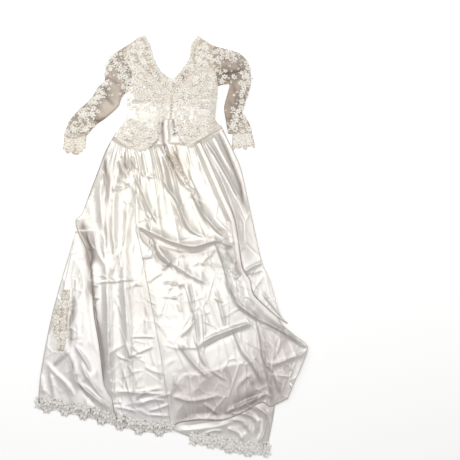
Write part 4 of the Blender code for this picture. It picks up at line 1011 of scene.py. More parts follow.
@dataclass(frozen=True)
class SatinFinish:
    """Glossy satin with a fine grain, with painted shade in its folds."""

    name: str
    colour: Triple
    # colour of the painted shade in its folds
    painted_shade_colour: Triple
    roughness: float
    metallic: float
    pitch: float = 0.0011        # from thread to thread
    slub: float = 0.6            # how uneven the threads are

    def build(self, groups: Groups) -> Material:
        """Make the material.

        Args:
            groups: The shader groups that the finishes share.

        Returns:
            The material.
        """
        made, sketch, shader = new_material(self.name)
        tone = sketch.group(groups.tone, Colour=(*self.colour, 1), Deep_Colour=(*self.painted_shade_colour, 1))
        weave = sketch.group(groups.weave, Pitch=self.pitch, Slub=self.slub)
        rough = sketch.math("MULTIPLY_ADD", weave.outputs["Slub"], 0.12, self.roughness - 0.06)
        sketch.feed_all(shader, Base_Color=tone.outputs["Colour"], Roughness=rough, Metallic=self.metallic,
                        Specular_IOR_Level=0.7, Sheen_Weight=0.15, Sheen_Roughness=0.4,
                        Normal=sketch.bump(0.18, 0.0003, weave.outputs["Height"]))
        return made


@dataclass(frozen=True)
class NetFinish:
    """Fine net that lets the layer under it show, with painted shade in its folds."""

    name: str
    colour: Triple
    # colour of its painted shade
    painted_shade_colour: Triple
    closed: float                # how much the holes hide what is under them
    cover: float = 1.0           # how much the threads do
    pitch: float = 0.0022        # from hole to hole

    def build(self, groups: Groups) -> Material:
        """Make the material.

        Args:
            groups: The shader groups that the finishes share.

        Returns:
            The material.
        """
        made, sketch, shader = new_material(self.name)
        tone = sketch.group(groups.tone, Colour=(*self.colour, 1), Deep_Colour=(*self.painted_shade_colour, 1))
        net = sketch.group(groups.net, Pitch=self.pitch, Thread=0.3)
        threads = (1.0 - self.closed) * self.cover
        alpha = sketch.math("MULTIPLY_ADD", net.outputs["Mask"], threads, self.closed)
        sketch.feed_all(shader, Base_Color=tone.outputs["Colour"], Roughness=0.7, Sheen_Weight=0.3,
                        Alpha=alpha, Normal=sketch.bump(0.5, 0.0004, net.outputs["Height"]))
        return made


@dataclass(frozen=True)
class ThreadFinish:
    """Embroidery thread: matt, uneven in tone, darker with painted shade where its shade attribute says, and
    bumpy with its stitches.
    """

    name: str
    light: Triple
    dark: Triple
    roughness: float = 0.5

    def build(self, groups: Groups) -> Material:
        """Make the material.

        Args:
            groups: The shader groups that the finishes share.

        Returns:
            The material.
        """
        made, sketch, shader = new_material(self.name)
        place = sketch.add("ShaderNodeTexCoord").outputs["Object"]
        share = sketch.math("MULTIPLY_ADD", sketch.noise(place, 60.0, 3.0), 1.1, -0.56)
        # the motif's painted shade pushes the thread towards its dark colour
        share = sketch.clamp(sketch.math("ADD", share, sketch.attribute("shade").outputs["Fac"]))
        sketch.feed_all(shader, Base_Color=sketch.mix(share, (*self.light, 1), (*self.dark, 1)),
                        Roughness=self.roughness, Sheen_Weight=0.2,
                        Normal=sketch.bump(0.6, 0.0003, sketch.noise(place, 900.0, 1.0)))
        return made


@dataclass(frozen=True)
class PearlFinish:
    """Small pearls and clear sequins."""

    name: str
    colour: Triple
    roughness: float
    metallic: float

    def build(self, groups: Groups) -> Material:
        """Make the material.

        Args:
            groups: The shader groups that the finishes share.

        Returns:
            The material.
        """
        made, sketch, shader = new_material(self.name)
        cloud = sketch.noise(sketch.add("ShaderNodeTexCoord").outputs["Object"], 240.0, 1.0)
        warm = (self.colour[0], self.colour[1] * 0.95, self.colour[2] * 0.88, 1)
        sketch.feed_all(shader, Base_Color=sketch.mix(cloud, (*self.colour, 1), warm),
                        Roughness=self.roughness, Metallic=self.metallic, Coat_Weight=0.5)
        return made


Finish = SatinFinish | NetFinish | ThreadFinish | PearlFinish

# The second colour of each satin and net is the colour of its painted shade.
WHITE_SATIN = SatinFinish("white_satin", (0.93, 0.91, 0.87), (0.36, 0.31, 0.28), 0.31, 0.48)
IVORY_SATIN = SatinFinish("ivory_satin", (0.925, 0.89, 0.82), (0.48, 0.40, 0.34), 0.34, 0.35)
BUTTON_SATIN = SatinFinish("button_satin", (0.86, 0.80, 0.70), (0.45, 0.36, 0.29), 0.38, 0.2)
YOKE_NET = NetFinish("yoke_net", (0.68, 0.57, 0.45), (0.34, 0.27, 0.21), 0.80)
SLEEVE_NET = NetFinish("sleeve_net", (0.76, 0.66, 0.56), (0.24, 0.18, 0.15), 0.66)
PINK_NET = NetFinish("pink_net", (0.80, 0.71, 0.62), (0.20, 0.15, 0.12), 0.70)
# The trim net is dark as a painted shade: the hem lace seen in shadow.
TRIM_NET = NetFinish("trim_net", (0.41, 0.375, 0.355), (0.22, 0.19, 0.175), 0.55)
APPLIQUE_NET = NetFinish("applique_net", (0.86, 0.78, 0.66), (0.55, 0.46, 0.37), 0.0, 0.30)
UNDER_NET = NetFinish("under_net", (0.64, 0.55, 0.47), (0.34, 0.27, 0.22), 0.80)
# Each thread's dark colour serves both its uneven tone and its painted shade.
LACE_THREAD = ThreadFinish("ivory_lace", (0.99, 0.965, 0.90), (0.55, 0.43, 0.30))
GIMP_THREAD = ThreadFinish("gimp_cord", (0.86, 0.77, 0.62), (0.52, 0.42, 0.30))
CREAM_THREAD = ThreadFinish("cream_lace", (0.99, 0.95, 0.84), (0.60, 0.46, 0.31))
TRIM_THREAD = ThreadFinish("trim_lace", (0.97, 0.95, 0.92), (0.42, 0.37, 0.33))
PEARL = PearlFinish("pearl", (0.95, 0.93, 0.88), 0.22, 0.3)


class MeshSketch:
    """A small mesh being drawn in metres, with a painted shade for each point."""

    def __init__(self) -> None:
        """Start empty."""
        self.points: list[Triple] = []
        self.shades: list[float] = []
        self.faces: list[tuple[int, ...]] = []

    def point(self, x: float, y: float, z: float, shade: float) -> int:
        """Add a point and return its number."""
        self.points.append((x, y, z))
        self.shades.append(shade)
        return len(self.points) - 1

    def ring(self, centre: Pair, radii: Pair, turn: float, z: float, count: int, shade: float) -> int:
        """Add an oval ring of points.

        Args:
            centre: Its middle.
            radii: Its half length and half width.
            turn: The direction of its length.
            z: Its level.
            count: How many points it has.
            shade: How much painted shade they get.

        Returns:
            The first point's number.
        """
        for angle in turns(count):
            x, y = radii[0] * math.cos(angle), radii[1] * math.sin(angle)
            self.point(centre[0] + x * math.cos(turn) - y * math.sin(turn),
                       centre[1] + x * math.sin(turn) + y * math.cos(turn), z, shade)
        return len(self.points) - count

    def petal(self, centre: Pair, radii: Pair, turn: float, height: float, count: int = 7) -> None:
        """Add an oval petal with a raised rim and a dished middle.

        Args:
            centre: Its middle.
            radii: Its half length and half width.
            turn: The direction of its length.
            height: The level of its rim.
            count: How many corners it has.
        """
        # painted shade at the petal's foot, which also draws its outline, and a little in its dished middle
        outer = self.ring(centre, radii, turn, 0.0, count, 0.58)
        rim = self.ring(centre, (radii[0] * 0.78, radii[1] * 0.74), turn, height, count, 0.0)
        middle = self.point(*centre, height * 0.45, 0.10)
        for k in range(count):
            n = (k + 1) % count
            self.faces += [(outer + k, outer + n, rim + n, rim + k), (rim + k, rim + n, middle)]

    def petals(self, angles: Sequence[float], reach: float, radii: Pair, height: float, count: int) -> None:
        """Add a petal in each direction, at a reach from the middle."""
        for angle in angles:
            self.petal(polar(reach, angle), radii, angle, height, count)

    def knob(self, rings: Sequence[Triple], height: float, count: int, centre: Pair = (0.0, 0.0)) -> None:
        """Add a round knob.

        Args:
            rings: The radius, level and painted shade of each ring, from the foot up.
            height: The level of its top.
            count: How many corners it has.
            centre: Its middle.
        """
        starts = [self.ring(centre, (radius, radius), 0.0, z, count, shade) for radius, z, shade in rings]
        top = self.point(*centre, height, 0.0)
        pairs = [(k, (k + 1) % count) for k in range(count)]
        for low, high in zip(starts, starts[1:]):
            self.faces += [(low + k, low + n, high + n, high + k) for k, n in pairs]
        self.faces += [(starts[-1] + k, starts[-1] + n, top) for k, n in pairs]

    def dome(self, centre: Pair, radius: float, height: float, count: int = 6) -> None:
        """Add a low round knob of one ring, with painted shade at its foot."""
        self.knob(((radius, 0.0, 0.3),), height, count, centre)

    def cord(self, path: Array, radius: float, sides: int = 4, closed: bool = False,
             shade: float = 0.0) -> None:
        """Add a tube along a path.

        Args:
            path: Its points in metres.
            radius: Its radius.
            sides: How many sides it has.
            closed: Whether its end meets its start.
            shade: The least painted shade it gets.
        """
        first = len(self.points)
        count = len(path)
        ahead = np.roll(path, -1, axis=0) if closed else np.vstack([path[1:], path[-1:]])
        behind = np.roll(path, 1, axis=0) if closed else np.vstack([path[:1], path[:-1]])
        run = ahead - behind
        run /= np.maximum(np.linalg.norm(run, axis=1), 1e-9)[:, None]
        side = np.cross(run, (0.0, 0.0, 1.0))
        side /= np.maximum(np.linalg.norm(side, axis=1), 1e-9)[:, None]
        up = np.cross(side, run)
        for k in range(sides):
            angle = 2.0 * math.pi * (k + 0.5) / sides
            ring = path + radius * (math.cos(angle) * side + math.sin(angle) * up)
            self.points += [tuple(point) for point in ring.tolist()]
            # painted shade on the underside of the cord
            self.shades += [max(shade, 0.0 if math.sin(angle) > 0.0 else 0.5)] * count
        for k in range(sides):
            low, high = first + k * count, first + (k + 1) % sides * count
            for n in range(count if closed else count - 1):
                m = (n + 1) % count
                self.faces.append((low + n, low + m, high + m, high + n))
        if not closed:
            self.faces.append(tuple(first + k * count for k in range(sides)))
            self.faces.append(tuple(first + k * count + count - 1 for k in reversed(range(sides))))

    def build(self, name: str) -> Mesh:
        """Finish the mesh, smooth, with its painted shade attribute.

        Args:
            name: The mesh's name.

        Returns:
            The mesh.
        """
        made = bpy.data.meshes.new(name)
        made.from_pydata(self.points, [], self.faces)
        made.shade_smooth()
        made.attributes.new("shade", "FLOAT", "POINT").data.foreach_set("value", self.shades)
        return made


def new_object(name: str, mesh: Mesh, material: Material | None = None) -> Object:
    """Put a mesh in the scene.

    Args:
        name: The object's name.
        mesh: The mesh.
        material: Its material, or nothing to leave it as it is.

    Returns:
        The object.
    """
    if material:
        mesh.materials.clear()
        mesh.materials.append(material)
    made = bpy.data.objects.new(name, mesh)
    bpy.context.scene.collection.objects.link(made)
    return made


class MotifBook:
    """The shapes that the lace repeats, kept as objects out of sight while the lace is made."""

    def __init__(self) -> None:
        """Draw every motif."""
        self.sprays = self.collection("sprays", [self.spray(1.0), self.spray(-1.0)])
        self.florets = self.collection("florets", [self.floret(5), self.floret(4), self.sprig()])
        self.blooms = self.collection("blooms", [self.bloom()])
        self.scrolls = self.collection("scrolls", [self.curls(1.0), self.curls(-1.0)])
        self.pearls = self.collection("pearls", [self.pearl()])
        self.stitches = self.collection("stitches", [self.stitch()])

    @staticmethod
    def collection(name: str, meshes: Sequence[Mesh]) -> bpy.types.Collection:
        """A collection of motif objects that isn't linked to the scene.

        Args:
            name: The collection's name.
            meshes: The motifs.

        Returns:
            The collection.
        """
        made = bpy.data.collections.new(name)
        for index, mesh in enumerate(meshes):
            made.objects.link(bpy.data.objects.new("%s_%d" % (name, index), mesh))
        return made

    @staticmethod
    def scroll(sketch: MeshSketch, start: Pair, turn: float, size: float, hand: float,
               level: float = 0.0006, radius: float = 0.0007) -> None:
        """Add a curled tendril to a sketch.

        Args:
            sketch: The sketch.
            start: Where it starts.
            turn: The direction in which it starts.
            size: About how long it is.
            hand: 1 where it curls to the left, -1 where to the right.
            level: The level of its middle.
            radius: Its thread's radius.
        """
        steps = np.linspace(0.0, 1.0, 9)
        angle = turn + hand * 4.2 * steps
        step = size * (1.0 - 0.72 * steps)
        x = start[0] + np.cumsum(np.cos(angle) * step) / 4.0
        y = start[1] + np.cumsum(np.sin(angle) * step) / 4.0
        sketch.cord(np.column_stack([x, y, np.full(len(x), level)]), radius, 3)

    def curls(self, hand: float) -> Mesh:
        """Two long curls that leave each other, of gimp cord.

        Args:
            hand: 1 or -1, for the motif and its mirror image.

        Returns:
            The mesh.
        """
        sketch = MeshSketch()
        for turn in (0.0, math.pi):
            self.scroll(sketch, (0.0, 0.0), turn, 0.026, hand, 0.0022, 0.0011)
        return sketch.build("curls")

    def spray(self, hand: float) -> Mesh:
        """An open flower with two leaves and two tendrils.

        Args:
            hand: 1 or -1, for the motif and its mirror image.

        Returns:
            The mesh.
        """
        sketch = MeshSketch()
        sketch.petals(turns(5), 0.0072, (0.0058, 0.0042), 0.0013, 7)
        sketch.dome((0.0, 0.0), 0.0026, 0.0018)
        for angle, way in ((0.5 * hand, -hand), (3.4 * hand, hand)):
            sketch.petal(polar(0.0160, angle), (0.0074, 0.0030), angle + 0.5 * hand, 0.0011, 8)
            self.scroll(sketch, polar(0.012, angle + 1.4), angle + 1.0, 0.009, way)
        return sketch.build("spray")

    @staticmethod
    def bloom() -> Mesh:
        """A round flower of six petals about a ring."""
        sketch = MeshSketch()
        sketch.petals(turns(6), 0.0068, (0.0048, 0.0036), 0.0012, 6)
        ring = np.array([(*polar(0.0026, angle), 0.0010) for angle in turns(8)])
        sketch.cord(ring, 0.0007, 3, closed=True)
        return sketch.build("bloom")

    @staticmethod
    def floret(petals: int) -> Mesh:
        """A small plain flower.

        Args:
            petals: How many petals it has.

        Returns:
            The mesh.
        """
        sketch = MeshSketch()
        for angle in turns(petals):
            sketch.dome(polar(0.0034, angle), 0.0026, 0.0011, 5)
        return sketch.build("floret")

    @staticmethod
    def sprig() -> Mesh:
        """Three small leaves on a stem."""
        sketch = MeshSketch()
        sketch.petals((-0.9, 0.0, 0.9), 0.0050, (0.0040, 0.0017), 0.0009, 5)
        return sketch.build("sprig")

    @staticmethod
    def pearl() -> Mesh:
        """A small pearl, sewn down at its foot."""
        sketch = MeshSketch()
        sketch.knob(((0.0008, 0.0, 0.0), (0.0014, 0.0009, 0.0), (0.0010, 0.0020, 0.0)), 0.0024, 6)
        return sketch.build("pearl")

    @staticmethod
    def stitch() -> Mesh:
        """One stitch of sewing thread, along X."""
        sketch = MeshSketch()
        path = ((-0.0016, 0.0, 0.0), (-0.0006, 0.0, 0.0004), (0.0006, 0.0, 0.0004), (0.0016, 0.0, 0.0))
        sketch.cord(np.array(path), 0.0003, 3)
        return sketch.build("stitch")


def plain_mesh(carrier: Object, name: str, material: Material) -> Object:
    """Turn a carrier's evaluated result into a plain object over the floor, and remove the carrier.

    Args:
        carrier: The object with the modifier.
        name: The new object's name.
        material: The new object's material.

    Returns:
        The plain object.
    """
    bpy.context.view_layer.update()
    evaluated = carrier.evaluated_get(bpy.context.evaluated_depsgraph_get())
    mesh = bpy.data.meshes.new_from_object(evaluated)
    mesh.name = name
    places = np.zeros(3 * len(mesh.vertices))
    mesh.vertices.foreach_get("co", places)
    places[2::3] = np.maximum(places[2::3], 0.1 * MM)
    mesh.vertices.foreach_set("co", places)
    carrier.modifiers.clear()
    bpy.data.objects.remove(carrier, do_unlink=True)
    return new_object(name, mesh, material)


class RepeatTree:
    """What the two Geometry Nodes trees share: the sockets, the motif choice, realizing and the material."""

    name = "Repeat"
    sizes: tuple[tuple[str, str, float], ...] = ()

    def __init__(self) -> None:
        """Build the tree."""
        self.tree = bpy.data.node_groups.new(self.name, "GeometryNodeTree")
        face = self.tree.interface
        for label, kind in (("Geometry", "Geometry"), ("Motifs", "Collection"), ("Finish", "Material")):
            face.new_socket(label, in_out="INPUT", socket_type="NodeSocket" + kind)
        for label, kind, value in self.sizes:
            face.new_socket(label, in_out="INPUT", socket_type=kind).default_value = value
        face.new_socket("Geometry", in_out="OUTPUT", socket_type="NodeSocketGeometry")
        self.sketch = ShaderSketch(self.tree)
        self.given = self.sketch.add("NodeGroupInput")
        self.result = self.sketch.add("NodeGroupOutput")
        self.draw()

    def draw(self) -> None:
        """Draw the tree's own nodes."""
        raise NotImplementedError

    def random(self, low: float, high: float, seed: int) -> Socket:
        """A random number for each point.

        Args:
            low: The lowest.
            high: The highest.
            seed: Seed of the numbers.

        Returns:
            The output that gives it.
        """
        node = self.sketch.add("FunctionNodeRandomValue", {"data_type": "FLOAT"}, Seed=seed)
        self.sketch.feed(node, 2, low)
        self.sketch.feed(node, 3, high)
        return node.outputs[1]

    def place(self, points: Socket, rotation: Socket, seed: int) -> None:
        """Put motifs on points, size and realize them and give them their material.

        Args:
            points: The points.
            rotation: How each motif is turned.
            seed: Seed of their sizes.
        """
        sketch, given = self.sketch, self.given.outputs
        width = sketch.math("SUBTRACT", given["Largest"], given["Smallest"])
        size = sketch.math("MULTIPLY_ADD", self.random(0.0, 1.0, seed), width, given["Smallest"])
        scale = sketch.add("ShaderNodeCombineXYZ", X=size, Y=size, Z=size)
        motifs = sketch.add("GeometryNodeCollectionInfo", Collection=given["Motifs"],
                            Separate_Children=True, Reset_Children=True)
        placed = sketch.add("GeometryNodeInstanceOnPoints", Points=points, Pick_Instance=True,
                            Instance=motifs.outputs[0], Rotation=rotation, Scale=scale.outputs[0])
        real = sketch.add("GeometryNodeRealizeInstances", Geometry=placed.outputs[0])
        done = sketch.add("GeometryNodeSetMaterial", Geometry=real.outputs[0], Material=given["Finish"])
        sketch.feed(self.result, "Geometry", done.outputs[0])

    def apply(self, carrier: Object, name: str, motifs: bpy.types.Collection, material: Material,
              **values: float) -> Object:
        """Run the tree on a carrier and keep the result as a plain mesh.

        Args:
            carrier: The mesh that the motifs stand on.
            name: The result's name.
            motifs: What is repeated.
            material: Its material.
            **values: The tree's sizes by name.

        Returns:
            The result.
        """
        modifier = carrier.modifiers.new(self.name, "NODES")
        modifier.node_group = self.tree
        values = {"Motifs": motifs, "Finish": material, **values}
        for item in self.tree.interface.items_tree:
            if item.in_out == "INPUT" and item.name in values:
                modifier[item.identifier] = values[item.name]
        return plain_mesh(carrier, name, material)


class ScatterTree(RepeatTree):
    """Motifs spread over a surface, turned at random, thinned by its lace attribute."""

    name = "Scatter"
    sizes = (("Spacing", FLOAT, 0.02), ("Smallest", FLOAT, 0.8), ("Largest", FLOAT, 1.2),
             ("Density", FLOAT, 4000.0), ("Seed", "NodeSocketInt", 1))

    def draw(self) -> None:
        """Spread points and turn them about the cloth's normal, which leans upwards."""
        sketch, given = self.sketch, self.given.outputs
        cover = sketch.add("GeometryNodeInputNamedAttribute", {"data_type": "FLOAT"}, Name="lace")
        spread = sketch.add("GeometryNodeDistributePointsOnFaces", {"distribute_method": "POISSON"})
        sketch.feed_all(spread, Mesh=given["Geometry"], Distance_Min=given["Spacing"],
                        Density_Max=given["Density"], Density_Factor=cover.outputs[0], Seed=given["Seed"])
        turn = sketch.add("ShaderNodeCombineXYZ", Z=self.random(0.0, NODE_TURN, 5))
        spin = sketch.add("FunctionNodeEulerToRotation", Euler=turn.outputs[0])
        upward = sketch.add("ShaderNodeVectorMath", {"operation": "ADD"})
        sketch.feed(upward, 0, spread.outputs["Normal"])
        sketch.feed(upward, 1, (0.0, 0.0, 0.6))
        level = sketch.add("FunctionNodeAlignRotationToVector", {"axis": "Z"}, Vector=upward.outputs[0])
        turned = sketch.add("FunctionNodeRotateRotation", {"rotation_space": "LOCAL"},
                            Rotation=level.outputs[0], Rotate_By=spin.outputs[0])
        self.place(spread.outputs["Points"], turned.outputs[0], 9)


class AlongTree(RepeatTree):
    """Motifs at an even pitch along a path, each turned with it."""

    name = "Along"
    sizes = (("Pitch", FLOAT, 0.006), ("Smallest", FLOAT, 0.9), ("Largest", FLOAT, 1.1))

    def draw(self) -> None:
        """Walk the path and turn each motif along it."""
        sketch, given = self.sketch, self.given.outputs
        curve = sketch.add("GeometryNodeMeshToCurve", Mesh=given["Geometry"])
        walk = sketch.add("GeometryNodeResampleCurve", {"mode": "LENGTH"}, Curve=curve.outputs[0],
                          Length=given["Pitch"])
        tangent = sketch.add("GeometryNodeInputTangent")
        turned = sketch.add("FunctionNodeAlignRotationToVector", {"axis": "X", "pivot_axis": "Z"},
                            Vector=tangent.outputs[0])
        self.place(walk.outputs[0], turned.outputs[0], 3)


def path_object(name: str, points: Array) -> Object:
    """A mesh of one open line through points in metres, for a tree to walk along."""
    mesh = bpy.data.meshes.new(name)
    mesh.from_pydata(points.tolist(), [(k, k + 1) for k in range(len(points) - 1)], [])
    return new_object(name, mesh)


@dataclass
class Kit:
    """What every sub-assembly takes its finishes, motifs and trees from."""

    groups: Groups = field(default_factory=Groups)
    book: MotifBook = field(default_factory=MotifBook)
    scatter: ScatterTree = field(default_factory=ScatterTree)
    along: AlongTree = field(default_factory=AlongTree)
    made: dict[str, Material] = field(default_factory=dict)

    def finish(self, finish: Finish) -> Material:
        """The material of a finish, made once.

        Args:
            finish: The finish.

        Returns:
            The material.
        """
        if finish.name not in self.made:
            self.made[finish.name] = finish.build(self.groups)
        return self.made[finish.name]

    def cloth(self, grid: ClothGrid, finish: Finish, slot: str, node: str) -> Object:
        """Hand over a grid in a finish, for the solid that it replaces."""
        return hand_over(new_object(grid.name, grid.mesh(), self.finish(finish)), slot, node)

    def flowers(self, label: str, grid: ClothGrid, spread: float = 1.0, rim: float = 1.0) -> list[str]:
        """Scatter sprays, blooms, small flowers, scrolls and pearls over a piece and hand them over.

        Args:
            label: What their names start with.
            grid: The piece.
            spread: How far apart they stand, as a share of the usual.
            rim: How far they keep off the piece's edges, as a share of the usual.

        Returns:
            The names of what was made.
        """
        made, book, cover = [], self.book, grid.lace
        near, steep = np.minimum.reduce(grid.distances()), grid.slope()
        for kind, motifs, spacing, finish, sizes, margin, flat in (
            ("sprays", book.sprays, 0.035, LACE_THREAD, (1.1, 1.7), 22.0, 0.34),
            ("blooms", book.blooms, 0.025, LACE_THREAD, (1.0, 1.6), 11.0, 0.60),
            ("florets", book.florets, 0.0165, CREAM_THREAD, (0.9, 1.6), 4.0, 1.5),
            ("scrolls", book.scrolls, 0.055, GIMP_THREAD, (0.8, 1.3), 16.0, 0.34),
            ("pearls", book.pearls, 0.0125, PEARL, (0.7, 1.1), 2.0, 4.0),
        ):
            grid.lace = cover * smooth_step(near, 0.7 * margin * rim, 1.2 * margin * rim)
            grid.lace *= 1.0 - smooth_step(steep, 0.8 * flat, 1.3 * flat)
            gap = spacing * spread
            piece = self.scatter.apply(
                new_object(label + "_carrier", grid.mesh(turned=False)), "%s_%s" % (label, kind), motifs,
                self.finish(finish), Spacing=gap, Density=2.6 / gap**2, Smallest=sizes[0],
                Largest=sizes[1], Seed=sum(label.encode()))
            made.append(hand_over(piece, "ivory_lace").name)
        grid.lace = cover
        return made


def hand_over(piece: Object, slot: str, *nodes: str) -> Object:
    """Let a piece ride on the body and stand for its solids.

    Args:
        piece: The finished piece.
        slot: The record's material slot; not used.
        *nodes: The solids that it replaces.

    Returns:
        The piece.
    """
    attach(piece, BODY)
    if nodes:
        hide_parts(*nodes)
    LOG.info("%s: %d faces", piece.name, len(piece.data.polygons))
    return piece


def distance_to(points: Path, xy: Array) -> Array:
    """Distance from each point of a grid to an edge's straight runs.

    Args:
        points: The edge.
        xy: The grid.

    Returns:
        The distances.
    """
    best = np.full(xy.shape[:2], 1e9)
    for a, b in zip(points, points[1:]):
        start, run = np.array(a, float), np.array(b, float) - np.array(a, float)
        offset = xy - start
        t = np.clip(offset @ run / (run @ run), 0.0, 1.0)
        offset = offset - t[..., None] * run
        best = np.minimum(best, np.hypot(offset[..., 0], offset[..., 1]))
    return best


@dataclass
class Skirt:
    """The four gores of the back, the under layer and the placket panel, in white satin."""

    kit: Kit
    lift: float = 5.0
    cell: float = 3.4            # size of a grid cell in millimetres
    gather_height: float = 4.6
    grids: list[ClothGrid] = field(default_factory=list)

    def gore(self, name: str, edges: Edges, floor: float, borders: tuple[Border, ...],
             width: float, length: float) -> ClothGrid:
        """A gore's grid with the skirt's creases pressed into it.

        Args:
            name: The piece's name.
            edges: Its top, bottom, left and right edges.
            floor: The level of its underside.
            borders: How those edges end.
            width: About how wide the gore is.
            length: About how long it is.

        Returns:
            The grid.
        """
        xy = coons_patch(*edges, int(width / self.cell), int(length / self.cell))
        grid = ClothGrid(name, xy, floor, borders, self.lift)
        grid.press(MAIN_FOLDS + SKIRT_CREASES + PRESS_MARKS)
        grid.tint(SKIRT_CASTS)
        grid.crumple(31, ((210.0, 3.2), (92.0, 1.7), (40.0, 0.6)))
        lower = 0.4 + 0.6 * smooth_step(-grid.xy[..., 1], 180.0, 620.0)
        grid.facet(61, 96.0, 2.0, 2.2, 0.10, lower)
        grid.facet(63, 46.0, 1.4, 1.2, 0.06, smooth_step(-grid.xy[..., 1], 500.0, 900.0))
        self.grids.append(grid)
        return grid

    def fan(self, grid: ClothGrid, seed: int, strands: float, size: float = 1.0) -> None:
        """Add the fan of soft folds that the gathered waist sends down a gore, with painted shade in its
        troughs.

        Args:
            grid: The gore.
            seed: Seed of their unevenness.
            strands: How many fine gathers lie across the gore at its waist.
            size: Share of their full height.
        """
        noise = Noise(seed)
        inside = smooth_step(np.minimum(grid.from_left, grid.from_right), 2.0, 26.0)
        drift = 0.35 * noise.at(grid.u * 3.0 + 20.0, grid.v * 3.0)
        for share, fade, height, pull in ((1.0, 0.26, 1.0, 2.0), (0.5, 0.60, 0.75, 1.6),
                                          (0.24, 1.4, 0.5, 1.4)):
            across = (grid.u + 0.02 * drift) * strands * share + 9.0 * share
            wave = noise.at(across, grid.v * pull + drift)
            ridge = 1.0 - 1.9 * np.abs(wave)
            weight = (1.0 - smooth_step(grid.v, fade * 0.25, fade)) * inside
            grid.rise += self.gather_height * size * height * weight * ridge
            # painted shade in the troughs of the gathers
            grid.shade += 0.14 * size * height * weight * np.clip(-ridge, 0.0, 1.0)

    def gores(self) -> None:
        """Build the four gores of the back."""
        seam, folded, tucked = Border.SEAM, Border.FOLDED, Border.TUCKED
        edges = (WAIST_LEFT, HEM_BACK_LEFT, OUTLINE_UPPER_LEFT, SEAM_BACK)
        left = self.gore("skirt_back_left_cloth", edges, LAYER_2, (tucked, folded, folded, seam), 330, 1330)
        left.floor += (LAYER_3 - LAYER_2) * (1.0 - smooth_step(distance_to(LOWER_LAP, left.xy), 30.0, 70.0))
        # stronger painted shade along this gore's folded edges
        left.RIM = 0.85
        self.fan(left, 41, 9.0)
        edges = (WAIST_BACK, TRAIN_FOLD_EDGE, SEAM_BACK, TRAIN_RIGHT)
        back = self.gore("skirt_back_right_cloth", edges, LAYER_2, (tucked, folded, seam, folded), 700, 1340)
        self.fan(back, 42, 26.0)
        back.TUCK = (14.0, 40.0)
        lap = smooth_step(distance_to(LAP_RIGHT, back.xy), 14.0, 40.0)
        back.rise *= np.where(back.xy[..., 0] > 0.0, lap, 1.0)
        edges = (WAIST_RIGHT, LAP_RIGHT_END, LAP_RIGHT, OUTLINE_RIGHT)
        borders = (tucked, folded, folded, folded)
        right = self.gore("skirt_side_right_cloth", edges, LAYER_3, borders, 130, 1010)
        self.fan(right, 43, 7.0)
        edges = (SIDE_GORE_TOP, HEM_SIDE_LEFT, OUTLINE_SIDE_LEFT, TUCK_LEFT)
        side = self.gore("skirt_side_left_cloth", edges, LAYER_2, (folded, folded, folded, tucked), 200, 800)
        side.rise *= smooth_step(distance_to(LOWER_LAP, side.xy), 6.0, 34.0)
        for grid, node, flat, area in ((left, "skirt_back_left", (0.42, 1.36), 0.37),
                                       (back, "skirt_back_right", (0.80, 1.42), 0.72),
                                       (right, "skirt_side_right", (0.16, 1.08), 0.125),
                                       (side, "skirt_side_left", (0.34, 0.84), 0.17)):
            piece = self.kit.cloth(grid, WHITE_SATIN, "white_satin", node)

    def under_layer(self) -> None:
        """Build the front of the skirt: a flat sheet on the floor, creased where its hem shows."""
        outline = np.vstack([smooth_curve(edge, np.linspace(0.0, 1.0, count))[:-1] for edge, count in (
            (FRONT_WAIST, 16), (OUTLINE_RIGHT[1:8] + FRONT_EDGE_RIGHT, 30), (FRONT_HEM_RIGHT, 14),
            ((FRONT_HEM_RIGHT[-1], FRONT_HEM_STEP[0]), 3), (FRONT_HEM_STEP, 2), (FRONT_HEM_LEFT, 20),
            (tuple(reversed(OUTLINE_SIDE_LEFT)), 14), (tuple(reversed(OUTLINE_UPPER_LEFT[1:5])), 8))])
        flap_xy = coons_patch(FLAP_TOP, FLAP_FOOT, FLAP_LEFT, FLAP_RIGHT, 150, 60)
        flap = ClothGrid("skirt_front_cloth", flap_xy, 0.0,
                         (Border.TUCKED, Border.FOLDED, Border.TUCKED, Border.FOLDED), 1.6)
        flap.TUCK = (0.0, 50.0)
        flap.press(FLAP_CREASES)
        flap.crumple(77, ((64.0, 1.6), (28.0, 1.0)), smooth_step(flap.u, 0.35, 0.7))
        flap.tint(SKIRT_CASTS)
        flap.shade *= 0.7
        self.grids.append(flap)
        satin = self.kit.finish(WHITE_SATIN)
        piece = new_object(flap.name, flap.mesh(), satin)
        plate = flat_plate("skirt_front_plate", outline, 1.3, satin)
        bpy.context.view_layer.objects.active = piece
        with bpy.context.temp_override(active_object=piece, selected_editable_objects=[piece, plate]):
            bpy.ops.object.join()
        hand_over(piece, "white_satin", "skirt_front")
        turned = flat_plate("train_turned_cloth", np.array(TURNED_UNDER, float), 1.4, satin)
        hand_over(turned, "white_satin", "train_turned_under")

    def placket(self) -> None:
        """Build the panel under the back opening."""
        xy = coons_patch(PLACKET_TOP, PLACKET_FOOT, PLACKET_LEFT, PLACKET_RIGHT, 60, 60)
        borders = (Border.TUCKED, Border.SEAM, Border.FOLDED, Border.FOLDED)
        grid = ClothGrid("placket_cloth", xy, LAYER_3, borders, 1.0)
        grid.TUCK = (0.0, 20.0)
        grid.floor -= 1.7 * (1.0 - smooth_step(grid.from_bottom, 2.0, 30.0))
        self.fan(grid, 47, 7.0, 0.6)
        grid.press(PLACKET_CREASES)
        grid.rise *= smooth_step(grid.from_bottom, -8.0, 26.0)
        # painted shade that dims the placket, with a faint tint
        grid.tint((Cast(-10, -50, 90, 110, (0.95, 0.93, 0.91), 0.14),))
        piece = self.kit.cloth(grid, WHITE_SATIN, "white_satin", "placket_panel")

    def build(self) -> None:
        """Build the whole skirt."""
        self.under_layer()
        self.gores()
        self.placket()


